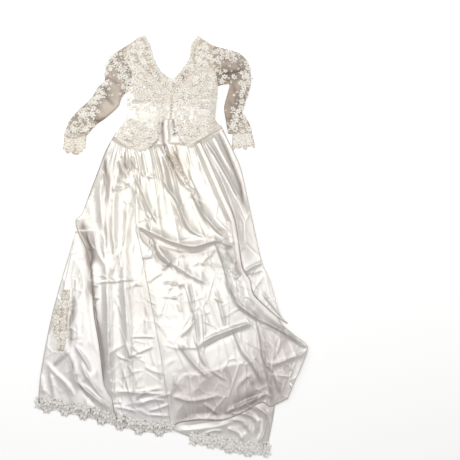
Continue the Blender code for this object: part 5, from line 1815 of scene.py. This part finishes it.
def sheet_mesh(name: str, points: Array, faces: list, shade: Array | float = 0.0,
               lace: Array | float = 1.0, cast: Array | float = 1.0, grain: Array | None = None) -> Mesh:
    """A mesh with the attributes that the cloth finishes and the scatter tree read.

    Args:
        name: The mesh's name.
        points: Its points in metres.
        faces: Its faces.
        shade: The painted shade at each point.
        lace: How much of the flowers each point may have.
        cast: The colour at each point: tints and painted shade.
        grain: The place of each point on the cut, in metres.

    Returns:
        The mesh.
    """
    mesh = bpy.data.meshes.new(name)
    mesh.from_pydata(points.tolist(), [], faces)
    count = len(points)
    colour = np.column_stack([np.zeros((count, 3)) + cast, np.ones(count)])
    for label, kind, slot, values in (("shade", "FLOAT", "value", np.zeros(count) + shade),
                                      ("lace", "FLOAT", "value", np.zeros(count) + lace),
                                      ("cast", "FLOAT_COLOR", "color", colour)):
        mesh.attributes.new(label, kind, "POINT").data.foreach_set(slot, values.reshape(-1))
    places = points[:, :2] if grain is None else grain
    corners = np.zeros(len(mesh.loops), int)
    mesh.loops.foreach_get("vertex_index", corners)
    mesh.uv_layers.new(name="grain").data.foreach_set("uv", places[corners].reshape(-1))
    return mesh


def flat_plate(name: str, outline: Array, top: float, material: Material) -> Object:
    """A flat stretch of cloth on the floor, with its edge turned down.

    Args:
        name: The piece's name.
        outline: Its points in millimetres, round it in either direction.
        top: The level of its upper side.
        material: Its material.

    Returns:
        The object.
    """
    x, y = outline.T
    if np.sum(x * np.roll(y, -1) - np.roll(x, -1) * y) < 0:
        outline = outline[::-1]
    count = len(outline)
    points = np.vstack([to_model(outline, np.full(count, top)), to_model(outline, np.zeros(count))])
    here = np.arange(count)
    after = (here + 1) % count
    faces = [tuple(range(count))] + np.stack([here, here + count, after + count, after], axis=-1).tolist()
    return new_object(name, sheet_mesh(name, points, faces), material)


def joined_edges(*edges: Path | Array, step: float = 14.0) -> Array:
    """Points round a closed outline of edges that follow each other.

    Args:
        *edges: The edges.
        step: About how far apart the points are.

    Returns:
        The points, without doubled ones.
    """
    points: list[Array] = []
    for edge in edges:
        count = max(2, int(path_length(edge) / step))
        for point in smooth_curve(edge, np.linspace(0.0, 1.0, count + 1)):
            if not points or np.hypot(*(point - points[-1])) > 1.5:
                points.append(point)
    if np.hypot(*(points[0] - points[-1])) < 1.5:
        points.pop()
    return np.array(points)


def trim_depth(place: Array, units: int, swing: float, swing_units: int) -> Array:
    """Share of its reach that a lace strip has at places counted in units along it."""
    scallop = 0.80 + 0.20 * np.abs(np.sin(math.pi * place))**0.7
    return scallop * (1.0 + swing * np.cos(math.pi * (2.0 * place - units) / swing_units))


@dataclass
class LaceTrim:
    """A scalloped strip of lace with an open loop in each unit, corded, flowered and beaded."""

    kit: Kit
    name: str
    node: str
    seam: Path
    units: int
    reach: float
    hole: float
    low: float
    flat: Pair
    swing: float = 0.0
    swing_units: int = 4
    bloom: float = 0.9
    rows: int = 1
    finish: NetFinish = TRIM_NET
    thread: ThreadFinish = TRIM_THREAD
    slot: str = "ivory_lace"
    around: int = 28             # points round a loop
    draw_in: float = 0.0         # how much narrower the rim is than the seam, as a share
    group: int = 0               # every so many units a flower is large
    outline: float = 0.0         # how dark the cord round a loop is
    ground: ClothGrid | None = None
    rests_on: tuple[str, ...] = ()

    def edge(self, place: Array, share: Array) -> Array:
        """Points of the strip in millimetres.

        Args:
            place: Places along it, counted in units.
            share: Places across it, 0 on the seam and 1 on the scalloped rim.

        Returns:
            The points.
        """
        here = smooth_curve(self.seam, place / self.units)
        step = 0.08
        ahead = smooth_curve(self.seam, np.clip((place + step) / self.units, 0.0, 1.0))
        behind = smooth_curve(self.seam, np.clip((place - step) / self.units, 0.0, 1.0))
        run = ahead - behind
        run /= np.hypot(*run.T)[:, None]
        here = here - run * ((place / self.units - 0.5) * self.draw_in * share * self.flat[0] / MM)[:, None]
        depth = self.reach * trim_depth(place, self.units, self.swing, self.swing_units) * share
        return here + np.column_stack([run[:, 1], -run[:, 0]]) * depth[:, None]

    def lifted(self, points: Array, level: float) -> Array:
        """Points in metres at a level over the floor or over the cloth that the strip lies on."""
        base = self.low if self.ground is None else self.ground.level_at(points) + 0.3
        return to_model(points, np.zeros(len(points)) + base + level)

    def spot(self, place: float, share: float, level: float) -> Array:
        """One point in metres, at a place, a share and a level."""
        return self.lifted(self.edge(np.array([place]), np.array([share])), level)[0]

    def loop(self, unit: int, row: int, grow: float) -> Array:
        """Points round one open loop.

        Args:
            unit: Its unit.
            row: Its row.
            grow: Its size as a share of the usual.

        Returns:
            The points in millimetres.
        """
        turn = np.array(turns(self.around))
        share = (row + 0.5 + 0.5 * self.hole * grow * np.sin(turn)) / self.rows
        return self.edge(unit + 0.5 + 0.5 * self.hole * grow * np.cos(turn), share)

    def cell(self, unit: int, row: int) -> Array:
        """Points round the whole cell of one loop.

        Args:
            unit: Its unit.
            row: Its row.

        Returns:
            The points in millimetres.
        """
        turn = np.array(turns(self.around))
        across, down = np.cos(turn), np.sin(turn)
        size = np.maximum(np.abs(across), np.abs(down))
        return self.edge(unit + 0.5 + 0.5 * across / size, (row + 0.5 + 0.5 * down / size) / self.rows)

    def net(self) -> Object:
        """The strip's own net, cut through inside each loop."""
        points: list[Array] = []
        faces: list[list[int]] = []
        n = self.around
        here = np.arange(n)
        after = (here + 1) % n
        for unit in range(self.units):
            for row in range(self.rows):
                outer, inner = self.cell(unit, row), self.loop(unit, row, 1.0)
                start = n * len(points)
                for ring, level in ((outer, LACE), ((outer + inner) / 2, LACE + 0.3), (inner, LACE),
                                    (inner, 0.1), (outer, 0.1)):
                    points.append(self.lifted(ring, level))
                for a, b in ((1, 0), (2, 1), (3, 2), (0, 4)):
                    low, high = start + b * n, start + a * n
                    faces += np.stack([low + here, high + here, high + after, low + after], axis=-1).tolist()
        mesh = sheet_mesh(self.name, np.vstack(points), faces)
        mesh.shade_smooth()
        return new_object(self.name, mesh, self.kit.finish(self.finish))

    def cords(self) -> Object:
        """Cord along the rim, the seam and round each loop, with a flower at each joint of units."""
        sketch = MeshSketch()
        top = LACE + 0.3
        fine = np.linspace(0.0, self.units, self.units * 10 + 1)
        for share, radius in ((0.97, 0.0009), (0.05, 0.0006)):
            sketch.cord(self.lifted(self.edge(fine, np.full(len(fine), share)), top), radius)
        for unit in range(self.units):
            for row in range(self.rows):
                ring = self.lifted(self.loop(unit, row, 1.08), top)
                sketch.cord(ring[::2], 0.0008, 3, True, self.outline)
        inset = 1 if self.rows > 1 else 0
        for joint in range(inset, self.units + 1 - inset):
            large = self.group and joint % self.group == 0
            size, level = (0.0088, top + 0.8) if large else (0.0050, top)
            for row in range(self.rows):
                centre = self.spot(joint, (row + 0.52) / self.rows, level)
                self.flower(sketch, centre, self.bloom * size, joint + row)
        for unit in range(self.units):
            self.flower(sketch, self.spot(unit + 0.5, 0.86, top), self.bloom * 0.0030, unit)
        name = self.name + "_cords"
        return new_object(name, sketch.build(name), self.kit.finish(self.thread))

    @staticmethod
    def flower(sketch: MeshSketch, centre: Array, size: float, turn: float) -> None:
        """Add a five-petalled flower to a sketch.

        Args:
            sketch: The sketch.
            centre: The flower's middle in metres.
            size: How far its petals stand from its middle.
            turn: The direction of its first petal.
        """
        first = len(sketch.points)
        angles = [angle + turn for angle in turns(5)]
        sketch.petals(angles, size, (0.78 * size, 0.58 * size), 0.0011, 6)
        sketch.dome((0.0, 0.0), 0.34 * size, 0.0014)
        for index in range(first, len(sketch.points)):
            x, y, z = sketch.points[index]
            sketch.points[index] = (x + centre[0], y + centre[1], z + centre[2] - 0.0002)

    def pearls(self) -> Object:
        """Pearls along the rim."""
        fine = np.linspace(0.0, self.units, self.units * 10 + 1)
        rim = self.edge(fine, np.full(len(fine), 0.90))
        carrier = path_object(self.name + "_rim", self.lifted(rim, LACE + 0.4))
        return self.kit.along.apply(carrier, self.name + "_pearls", self.kit.book.pearls,
                                    self.kit.finish(PEARL), Pitch=0.0062)

    def build(self) -> None:
        """Build the strip and hand it over."""
        net = hand_over(self.net(), self.slot, *([self.node] if self.node else []))
        extras = [hand_over(self.cords(), self.slot), hand_over(self.pearls(), self.slot)]
        if self.rows > 1 or self.reach > 40.0:
            carrier = new_object(self.name + "_carrier", net.data.copy())
            extras.append(hand_over(self.kit.scatter.apply(
                carrier, self.name + "_flowers", self.kit.book.florets, self.kit.finish(self.thread),
                Spacing=0.0095, Density=9000.0, Smallest=0.8, Largest=1.3, Seed=3), self.slot))


def bodice_floor(y: Array) -> Array:
    """Lowest level of the bodice back: it rises over the waist of the skirt and the placket."""
    return LAYER_2 + 3.6 * (1.0 - smooth_step(y, 66.0, 118.0))


@dataclass
class Bodice:
    """The backs, yokes, illusion panel and front of the bodice, with their lace, pearls and buttons."""

    kit: Kit
    cell: float = 2.4
    swell: float = 11.0
    yoke_swell: float = 5.0
    applique_lift: float = 0.7
    button_count: int = 8
    button_pitch: float = 17.0
    button_top: float = 148.0
    button_radius: float = 5.5
    button_height: float = 4.6

    def back(self, side: str, edges: Edges) -> ClothGrid:
        """One half of the back in satin, swelled over its boning and creased.

        Args:
            side: left or right.
            edges: Its top, bottom, left and right edges.

        Returns:
            The grid.
        """
        xy = coons_patch(*edges, int(240 / self.cell), int(370 / self.cell))
        x, y = xy[..., 0], xy[..., 1]
        borders = (Border.SEAM, Border.FOLDED, Border.SEAM, Border.SEAM)
        grid = ClothGrid("bodice_%s_cloth" % side, xy, bodice_floor(y), borders, 1.0)
        off_centre = smooth_step(np.abs(x + 5.0), 22.0, 85.0)
        to_side = smooth_step(np.minimum(x + 262.0, 250.0 - x), 8.0, 75.0)
        to_waist = smooth_step(y, -150.0, -70.0)
        to_yoke = 1.0 - smooth_step(y + 0.45 * np.abs(x + 5.0), 190.0, 300.0)
        grid.rise += self.swell * off_centre * to_side * to_waist * (0.35 + 0.65 * to_yoke)
        grid.press(BODICE_CREASES)
        grid.crumple(61, ((44.0, 0.8), (18.0, 0.4)))
        return grid

    def applique(self, side: str, grid: ClothGrid, top: tuple[float, float, float, float],
                 basque: tuple[float, float, float, float]) -> None:
        """Lay net, flowers and pearls over a half of the back.

        Args:
            side: left or right.
            grid: The satin that it lies on.
            top: First and last u and v of the piece under the yoke.
            basque: First and last u and v of the piece round the basque.
        """
        for name, reach, scalloped, node, flat in (
                ("applique", top, 1, "bodice_lace_%s", (0.21, 0.16)),
                ("basque", basque, -1, "basque_lace_%s", (0.25, 0.11))):
            label = "%s_%s" % (name, side)
            piece = self.part_of(grid, label + "_net", reach, scalloped)
            net = self.kit.cloth(piece, APPLIQUE_NET, "ivory_lace", node % side)
            extras = self.kit.flowers(label, piece)

    def part_of(self, grid: ClothGrid, name: str, reach: tuple[float, float, float, float],
                scalloped: int) -> ClothGrid:
        """A piece of lace over part of a cloth, lifted off it, with one scalloped edge.

        Args:
            grid: The cloth.
            name: The piece's name.
            reach: First and last u and v that it covers.
            scalloped: 1 where its foot is scalloped, -1 where its head is.

        Returns:
            The piece's grid.
        """
        heights = grid.heights()
        rows, columns = heights.shape
        left, right, head, foot = reach
        across = np.linspace(left, right, int((right - left) * columns) + 1)
        down = np.linspace(0.0, 1.0, int((foot - head) * rows) + 1)
        wave = 0.022 * np.abs(np.sin(across * 34.0)) + 0.012 * np.sin(across * 9.0)
        first = head - wave if scalloped < 0 else np.full(len(across), head)
        last = foot + wave if scalloped > 0 else np.full(len(across), foot)
        v = np.clip(first[None] + (last - first)[None] * down[:, None], 0.0, 1.0) * (rows - 1)
        u = np.broadcast_to(across * (columns - 1), v.shape)
        i, j = np.minimum(u.astype(int), columns - 2), np.minimum(v.astype(int), rows - 2)
        s, t = u - i, v - j

        def read(values: Array) -> Array:
            """The cloth's values at the piece's points.

            Args:
                values: One for each point of the cloth.

            Returns:
                One for each point of the piece.
            """
            if values.ndim == 3:
                return np.stack([read(values[..., k]) for k in range(values.shape[2])], axis=-1)
            return ((1 - s) * (1 - t) * values[j, i] + s * (1 - t) * values[j, i + 1]
                    + (1 - s) * t * values[j + 1, i] + s * t * values[j + 1, i + 1])

        wall = 0.4
        floor = read(heights) + self.applique_lift - wall
        piece = ClothGrid(name, read(grid.xy), floor, (Border.FOLDED,) * 4, 0.4)
        piece.wall = wall
        piece.ROUND = 1.5
        piece.TURN = 0.5
        piece.RIM = 0.0
        return piece

    def yoke(self, name: str, node: str, edges: Edges, finish: NetFinish, slot: str,
             casts: Sequence[Cast]) -> None:
        """A sheer piece between the backs and the shoulders.

        Args:
            name: The piece's name.
            node: The solid that it replaces.
            edges: Its top, bottom, left and right edges.
            finish: Its net.
            slot: The record's slot.
            casts: Its patches of colour.
        """
        width, height = path_length(edges[0]) + path_length(edges[1]), path_length(edges[2])
        xy = coons_patch(*edges, max(20, int(width / 2 / self.cell)), max(20, int(height / self.cell)))
        grid = ClothGrid(name, xy, LAYER_2, (Border.SEAM,) * 4, 0.0)
        grid.wall = LACE
        near = np.minimum.reduce(grid.distances())
        grid.rise += self.yoke_swell * smooth_step(near, 0.0, 40.0)
        grid.crumple(83, ((40.0, 0.9), (17.0, 0.4)))
        grid.rise = np.maximum(grid.rise, 0.2)
        grid.tint(casts)
        piece = self.kit.cloth(grid, finish, slot, node)
        extras = self.kit.flowers(name, grid, 0.94, 0.55)

    def neck_corner(self) -> None:
        """Flowers between the left yoke and its neck lace, down to the point of the neckline."""
        outline = joined_edges(YOKE_NECK_LEFT[2:], ((-5, 162), (-5, 214)), NECK_SEAM_LEFT[:1:-1])
        carrier = flat_plate("neck_corner", outline, 2.6, self.kit.finish(YOKE_NET))
        hand_over(self.kit.scatter.apply(carrier, "neck_corner_flowers", self.kit.book.florets,
                                         self.kit.finish(LACE_THREAD), Spacing=0.0070, Density=16000.0,
                                         Smallest=1.0, Largest=1.7, Seed=5), "ivory_lace")

    def fronts(self) -> None:
        """The under layer of the bodice, seen only inside the neckline."""
        satin = self.kit.finish(IVORY_SATIN)
        left = joined_edges(
            NECK_SEAM_LEFT, (NECK_SEAM_LEFT[-1], NECK_POINT), ((-5, 216), (-5, -104)),
            ((-5, -104), (-200, -136), (-278, -86)), SIDE_LEFT[::-1], ARMHOLE_LEFT[::-1], SHOULDER_CUT_LEFT)
        right = joined_edges(
            (NECK_POINT, NECK_SEAM_RIGHT[-1]), NECK_SEAM_RIGHT[::-1], SHOULDER_CUT_RIGHT, ARMHOLE_RIGHT,
            SIDE_RIGHT, ((246, -42), (90, -132), (-4, -104)), ((-4, -104), (-4, 216)))
        for side, outline in (("left", left), ("right", right)):
            piece = hand_over(flat_plate("bodice_front_%s_cloth" % side, outline, 1.3, satin), "ivory_satin",
                              "bodice_front_" + side)

    def buttons(self) -> None:
        """The covered buttons, each with its loop of cord."""
        loops, turn = MeshSketch(), np.linspace(-2.2, 2.2, 13)
        shape = ((0.72, 0.0), (0.94, 0.16), (1.0, 0.36), (0.93, 0.58), (0.76, 0.78), (0.48, 0.93))
        # painted shade towards the foot of each button
        rings = [(self.button_radius * share, self.button_height * level, 0.25 - 0.25 * level)
                 for share, level in shape]
        for number in range(self.button_count):
            y = self.button_top - number * self.button_pitch
            low = float(bodice_floor(np.array(y))) + CLOTH
            sketch = MeshSketch()
            sketch.knob(rings, self.button_height, 20)
            local = np.array(sketch.points)
            points = to_model(local[:, :2] + (-5.0, y), local[:, 2] + low + 0.9)
            name = "covered_button_%d" % (number + 1)
            mesh = sheet_mesh(name, points, sketch.faces, np.array(sketch.shades))
            mesh.shade_smooth()
            hand_over(new_object(name, mesh, self.kit.finish(BUTTON_SATIN)), "button_satin",
                      "button_%d" % (number + 1))
            loop = np.column_stack([-7.0 + 7.4 * np.cos(turn), y + 6.4 * np.sin(turn)])
            loops.cord(to_model(loop, np.full(len(turn), low + 1.6)), 0.0007)
        hand_over(new_object("button_loops", loops.build("button_loops"), self.kit.finish(LACE_THREAD)),
                  "ivory_lace")

    def seams(self) -> None:
        """Piping along the basque and the yoke seams, and stitches beside the centre seam."""
        piping, thread = MeshSketch(), self.kit.finish(LACE_THREAD)
        for edge, margin, count, lift, radius in (
            (LOBE_LEFT, 0.02, 60, 0.0, 0.0011), (LOBE_RIGHT, 0.02, 60, 0.0, 0.0011),
            (YOKE_SEAM_LEFT, 0.01, 50, 0.9, 0.0009), (YOKE_SEAM_RIGHT, 0.01, 50, 0.9, 0.0009),
            (V_EDGE_RIGHT, 0.01, 50, 0.9, 0.0009),
        ):
            line = smooth_curve(edge, np.linspace(margin, 1.0 - margin, count))
            piping.cord(to_model(line, bodice_floor(line[:, 1]) + CLOTH + lift), radius)
        hand_over(new_object("bodice_piping", piping.build("bodice_piping"), thread), "ivory_satin")
        for name, x in (("centre_stitches_left", -10.5), ("centre_stitches_right", 0.5)):
            line = np.column_stack([np.full(30, x), np.linspace(156.0, 18.0, 30)])
            carrier = path_object(name + "_path", to_model(line, bodice_floor(line[:, 1]) + CLOTH + 0.9))
            hand_over(self.kit.along.apply(carrier, name, self.kit.book.stitches, thread, Pitch=0.0042),
                      "ivory_satin")

    def build(self) -> None:
        """Build the whole bodice."""
        self.fronts()
        left = self.back("left", (YOKE_SEAM_LEFT, LOBE_LEFT, SIDE_LEFT, CENTRE_BACK))
        right = self.back("right", (V_EDGE_RIGHT + YOKE_SEAM_RIGHT[1:], LOBE_RIGHT, CENTRE_BACK, SIDE_RIGHT))
        for grid, side, base in ((left, "left", 0.26), (right, "right", 0.5)):
            piece = self.kit.cloth(grid, IVORY_SATIN, "ivory_satin", "bodice_back_" + side)
            waist = smooth_step(grid.v, 0.36, 0.44) - smooth_step(grid.v, 0.70, 0.76)
            middle = 1.0 - smooth_step(np.abs(grid.xy[..., 0] + 5.0), 50.0, 150.0)
            grid.lace = waist * (base + (1.0 - base) * middle)
            extras = self.kit.flowers("waist_" + side, grid)
        self.applique("left", left, (0.0, 0.985, 0.005, 0.42), (0.0, 0.95, 0.73, 0.99))
        self.applique("right", right, (0.015, 1.0, 0.005, 0.45), (0.05, 1.0, 0.71, 0.99))
        for name, node, edges, net, slot, flat, casts in (
            ("yoke_left_lace", "yoke_left", (SHOULDER_LEFT, YOKE_SEAM_LEFT, ARMHOLE_LEFT, YOKE_NECK_LEFT),
             YOKE_NET, "ivory_lace", (0.14, 0.22), ()),
            ("yoke_right_lace", "yoke_right",
             (SHOULDER_RIGHT, YOKE_SEAM_RIGHT, YOKE_NECK_RIGHT, ARMHOLE_RIGHT),
             YOKE_NET, "ivory_lace", (0.12, 0.18), ()),
            ("illusion_net", "illusion_panel",
             (ILLUSION_TOP, ILLUSION_FOOT, ILLUSION_CENTRE, ILLUSION_SIDE),
             PINK_NET, "sheer_net", (0.06, 0.20), ILLUSION_CASTS),
        ):
            self.yoke(name, node, edges, net, slot, casts)
        self.neck_corner()
        self.buttons()
        self.seams()
        for side, seam_line in (("left", NECK_SEAM_LEFT[::-1]), ("right", NECK_SEAM_RIGHT)):
            LaceTrim(self.kit, "neck_trim_" + side, "neck_edging_" + side, seam_line, 12, 15.0, 0.46, 1.0,
                     (0.36, 0.016), bloom=0.95, group=2, finish=YOKE_NET, thread=LACE_THREAD).build()


@dataclass
class Sleeves:
    """Both sleeves of flowered net, each an upper and an under layer with a scalloped cuff."""

    kit: Kit
    cell: float = 2.8
    puff: float = 26.0

    def upper(self, side: str, head: Array, outer: Path, inner: Path, end: Path) -> ClothGrid:
        """The upper layer of a sleeve.

        Args:
            side: left or right.
            head: The armhole's points, from the shoulder to the armpit.
            outer: The edge from the shoulder to the cuff.
            inner: The edge from the armpit to the cuff.
            end: The cuff's edge from left to right.

        Returns:
            The grid.
        """
        inner_full = np.vstack([head[-1:], np.array(inner, float)])
        left = side == "left"
        edges = (head, end, outer, inner_full) if left else (head[::-1], end, inner_full, outer)
        xy = coons_patch(*edges, int(190 / self.cell), int(540 / self.cell))
        borders = (Border.SEAM, Border.SEAM, Border.FOLDED, Border.FOLDED)
        grid = ClothGrid("sleeve_%s_net" % side, xy, LAYER_2, borders, 0.0)
        grid.wall = LACE
        u, v = grid.u, grid.v
        bow = np.clip(4.0 * u * (1.0 - u), 0.0, 1.0)**0.6
        puff = self.puff * (1.0 - 0.55 * smooth_step(v, 0.1, 0.5)) * smooth_step(v, -0.01, 0.12)
        wave = 1.0 + 0.24 * np.sin(19.0 * v + 3.5 * u + (0.0 if left else 1.6))
        grid.rise += puff * wave * bow * 0.86 * (1.0 - 0.85 * smooth_step(v, 0.90, 1.0))
        grid.crumple(91 if left else 97, ((52.0, 2.4), (24.0, 1.3)), bow * smooth_step(v, 0.0, 0.06))
        return grid

    def build_side(self, side: str, armhole: Path, body_side: Path, share: float, outer: Path, inner: Path,
                   end: Path, creases: Sequence[Crease], casts: Sequence[Cast]) -> None:
        """Build one sleeve.

        Args:
            side: left or right.
            armhole: The yoke's edge.
            body_side: The bodice's side seam.
            share: How far down that seam the armpit lies.
            outer: The edge from the shoulder to the cuff.
            inner: The edge from the armpit to the cuff.
            end: The cuff's edge from left to right.
            creases: Its own creases.
            casts: Its own patches of colour.
        """
        head = np.vstack([smooth_curve(armhole, np.linspace(0.0, 1.0, 9))[:-1],
                          smooth_curve(body_side, np.linspace(0.0, share, 9))])
        grid = self.upper(side, head, outer, inner, end)
        grid.press(creases)
        grid.tint(casts)
        outer_reach = grid.from_left if side == "left" else grid.from_right
        cover = 1.0 - smooth_step(outer_reach, 62.0, 112.0)
        ends = np.maximum(1.0 - smooth_step(grid.v, 0.05, 0.34), smooth_step(grid.v, 0.70, 0.92))
        grid.lace = np.clip(0.05 + 0.95 * np.maximum(cover, ends), 0.0, 1.0)
        # painted shade: the net looks darker where shadow shows through it under the flowers
        see_through_shade = grid.lace * (1.0 - 0.8 * smooth_step(grid.v, 0.82, 1.0))
        grid.cast *= 1.0 - see_through_shade[..., None] * np.array((0.38, 0.39, 0.39))
        net = self.kit.cloth(grid, SLEEVE_NET, "sheer_net", "sleeve_%s_upper" % side)
        extras = self.kit.flowers("sleeve_%s" % side, grid, 0.94, 0.7)
        rim = joined_edges(head, np.vstack([head[-1:], np.array(inner, float)]), end[::-1], outer[::-1])
        lining = flat_plate("sleeve_%s_lining" % side, rim, 1.0, self.kit.finish(UNDER_NET))
        under = hand_over(lining, "sheer_net", "sleeve_%s_under" % side)

    def build(self) -> None:
        """Build both sleeves and their cuffs."""
        self.build_side("left", ARMHOLE_LEFT, SIDE_LEFT, 5 / 12, SLEEVE_LEFT_OUTER, SLEEVE_LEFT_INNER,
                        SLEEVE_LEFT_END, SLEEVE_LEFT_CREASES, SLEEVE_LEFT_CASTS)
        self.build_side("right", ARMHOLE_RIGHT, SIDE_RIGHT, 3 / 12, SLEEVE_RIGHT_OUTER, SLEEVE_RIGHT_INNER,
                        SLEEVE_RIGHT_END, SLEEVE_RIGHT_CREASES, SLEEVE_RIGHT_CASTS)
        LaceTrim(self.kit, "cuff_trim_left", "cuff_lace_left", CUFF_SEAM_LEFT, 5, 76.0, 0.34, 0.0,
                 (0.115, 0.078), swing=0.17, swing_units=5, bloom=1.15, rows=3, draw_in=0.30,
                 finish=YOKE_NET, group=1, thread=CREAM_THREAD).build()
        LaceTrim(self.kit, "cuff_trim_right", "cuff_lace_right", CUFF_SEAM_RIGHT, 5, 80.0, 0.34, 0.0,
                 (0.097, 0.082), swing=0.08, swing_units=2, bloom=1.1, rows=3, finish=YOKE_NET, group=1,
                 thread=LACE_THREAD).build()


def skirt_trims(kit: Kit, flap: ClothGrid, left: ClothGrid, back: ClothGrid, side: ClothGrid) -> None:
    """Build the lace on the hems, down the left side and on the tail below the basque.

    Args:
        kit: The finishes, motifs and trees.
        flap: The creased hem of the front.
        left: The left gore of the back.
        back: The gore that the tail lies on.
        side: The gore that the side motif lies on.
    """
    LaceTrim(kit, "hem_trim_left", "hem_lace_left", HEM_SEAM_LEFT, 28, 32.0, 0.50, 0.0, (0.58, 0.034),
             swing=0.34, bloom=1.2, group=2, outline=1.0).build()
    LaceTrim(kit, "hem_trim_right", "hem_lace_right", HEM_SEAM_RIGHT, 16, 27.0, 0.46, 0.0, (0.31, 0.028),
             swing=0.24, bloom=1.3, group=2, outline=1.0).build()
    for name, seam in (("hem_heading_left", HEM_SEAM_LEFT), ("hem_heading_right", HEM_SEAM_RIGHT)):
        line = smooth_curve(seam, np.linspace(0.005, 0.995, 80))
        carrier = path_object(name + "_path", to_model(line, np.full(80, 4.4)))
        hand_over(kit.along.apply(carrier, name, kit.book.florets, kit.finish(TRIM_THREAD), Pitch=0.0165,
                                  Smallest=1.9, Largest=3.1), "ivory_lace")
    for name, seam, units, ground, wide in (("hem_rise_side", HEM_SIDE_LEFT, 16, side, 0.335),
                                            ("hem_rise_left", HEM_BACK_LEFT, 11, left, 0.232),
                                            ("hem_rise_flap", HEM_SEAM_RIGHT, 16, flap, 0.308)):
        LaceTrim(kit, name, "", seam[::-1], units, 23.0, 0.50, 0.0, (wide, 0.021), swing=0.25, bloom=1.25,
                 group=2, outline=1.0, ground=ground, rests_on=(ground.name,)).build()
    LaceTrim(kit, "side_motif", "skirt_lace_motif", MOTIF_SEAM, 8, 53.0, 0.34, 0.0, (0.28, 0.054),
             swing=0.42, swing_units=8, bloom=1.4, rows=2, group=2, finish=YOKE_NET, thread=LACE_THREAD,
             ground=side, rests_on=(side.name,)).build()
    LaceTrim(kit, "tail_trim", "lace_tail", TAIL_SEAM, 5, 20.0, 0.40, 0.0, (0.22, 0.021), swing=0.15,
             bloom=0.8, finish=YOKE_NET, thread=LACE_THREAD, ground=back, rests_on=(back.name,)).build()


@dataclass
class Stage:
    """The floor, the lights and the camera at the photograph's angle."""

    camera_place: Triple = (0.2474, -0.5903, 2.0284)
    tilt: float = math.radians(15.0)
    lens: float = 35.37
    sensor: float = 36.0
    floor_reach: float = 6.0
    floor_level: float = -0.0006

    def build(self) -> None:
        """Make the floor, lights, world and camera."""
        mesh = bpy.data.meshes.new("floor")
        corners = [(x * self.floor_reach, y * self.floor_reach, self.floor_level)
                   for x, y in ((-1, -1), (1, -1), (1, 1), (-1, 1))]
        mesh.from_pydata(corners, [], [(0, 1, 2, 3)])
        made, sketch, shader = new_material("floor")
        sketch.feed_all(shader, Base_Color=(0.93, 0.93, 0.93, 1), Roughness=0.9,
                        Emission_Color=(1.0, 1.0, 1.0, 1), Emission_Strength=0.24)
        new_object("floor", mesh, made)
        self.area("ceiling_panel", (-0.52, 0.95, 2.9), (-0.52, 0.95, 0.0), (3.0, 3.8), 49.0)
        self.area("low_side", (-2.4, 2.2, 2.1), (0.0, 0.2, 0.0), (1.2, 1.2), 24.0)
        self.area("front_fill", (2.8, 0.6, 1.7), (0.2, -0.2, 0.0), (1.0, 1.0), 15.0)
        world = bpy.data.worlds.new("studio")
        world.use_nodes = True
        sky = ShaderSketch(world.node_tree)
        sky.feed_all(world.node_tree.nodes["Background"], Color=(0.96, 0.945, 0.935, 1), Strength=0.42)
        camera = bpy.data.objects.new("camera", bpy.data.cameras.new("camera"))
        camera.location = self.camera_place
        camera.rotation_euler = (self.tilt, 0.0, 0.0)
        camera.data.lens = self.lens
        camera.data.sensor_width = self.sensor
        scene = bpy.context.scene
        scene.world, scene.camera = world, camera
        scene.collection.objects.link(camera)
        scene.view_settings.view_transform = "Standard"
        scene.view_settings.exposure = 0.0

    @staticmethod
    def area(name: str, place: Triple, aim: Triple, size: Pair, power: float) -> None:
        """A soft rectangular light.

        Args:
            name: Its name.
            place: Where it hangs.
            aim: The point that it faces.
            size: Its width and length.
            power: Its power in watts.
        """
        light = bpy.data.lights.new(name, "AREA")
        light.shape = "RECTANGLE"
        light.size, light.size_y = size
        light.energy = power
        made = bpy.data.objects.new(name, light)
        made.location = place
        made.rotation_euler = (Vector(aim) - Vector(place)).to_track_quat("-Z", "Y").to_euler()
        bpy.context.scene.collection.objects.link(made)


def main() -> None:
    """Build the dress and its stage."""
    logging.basicConfig(level=logging.INFO, format="%(name)s: %(message)s")
    Stage().build()
    kit = Kit()
    skirt = Skirt(kit)
    skirt.build()
    flap, left, back, _, side = skirt.grids
    skirt_trims(kit, flap, left, back, side)
    Bodice(kit).build()
    Sleeves(kit).build()


if __name__ == "__main__":
    main()
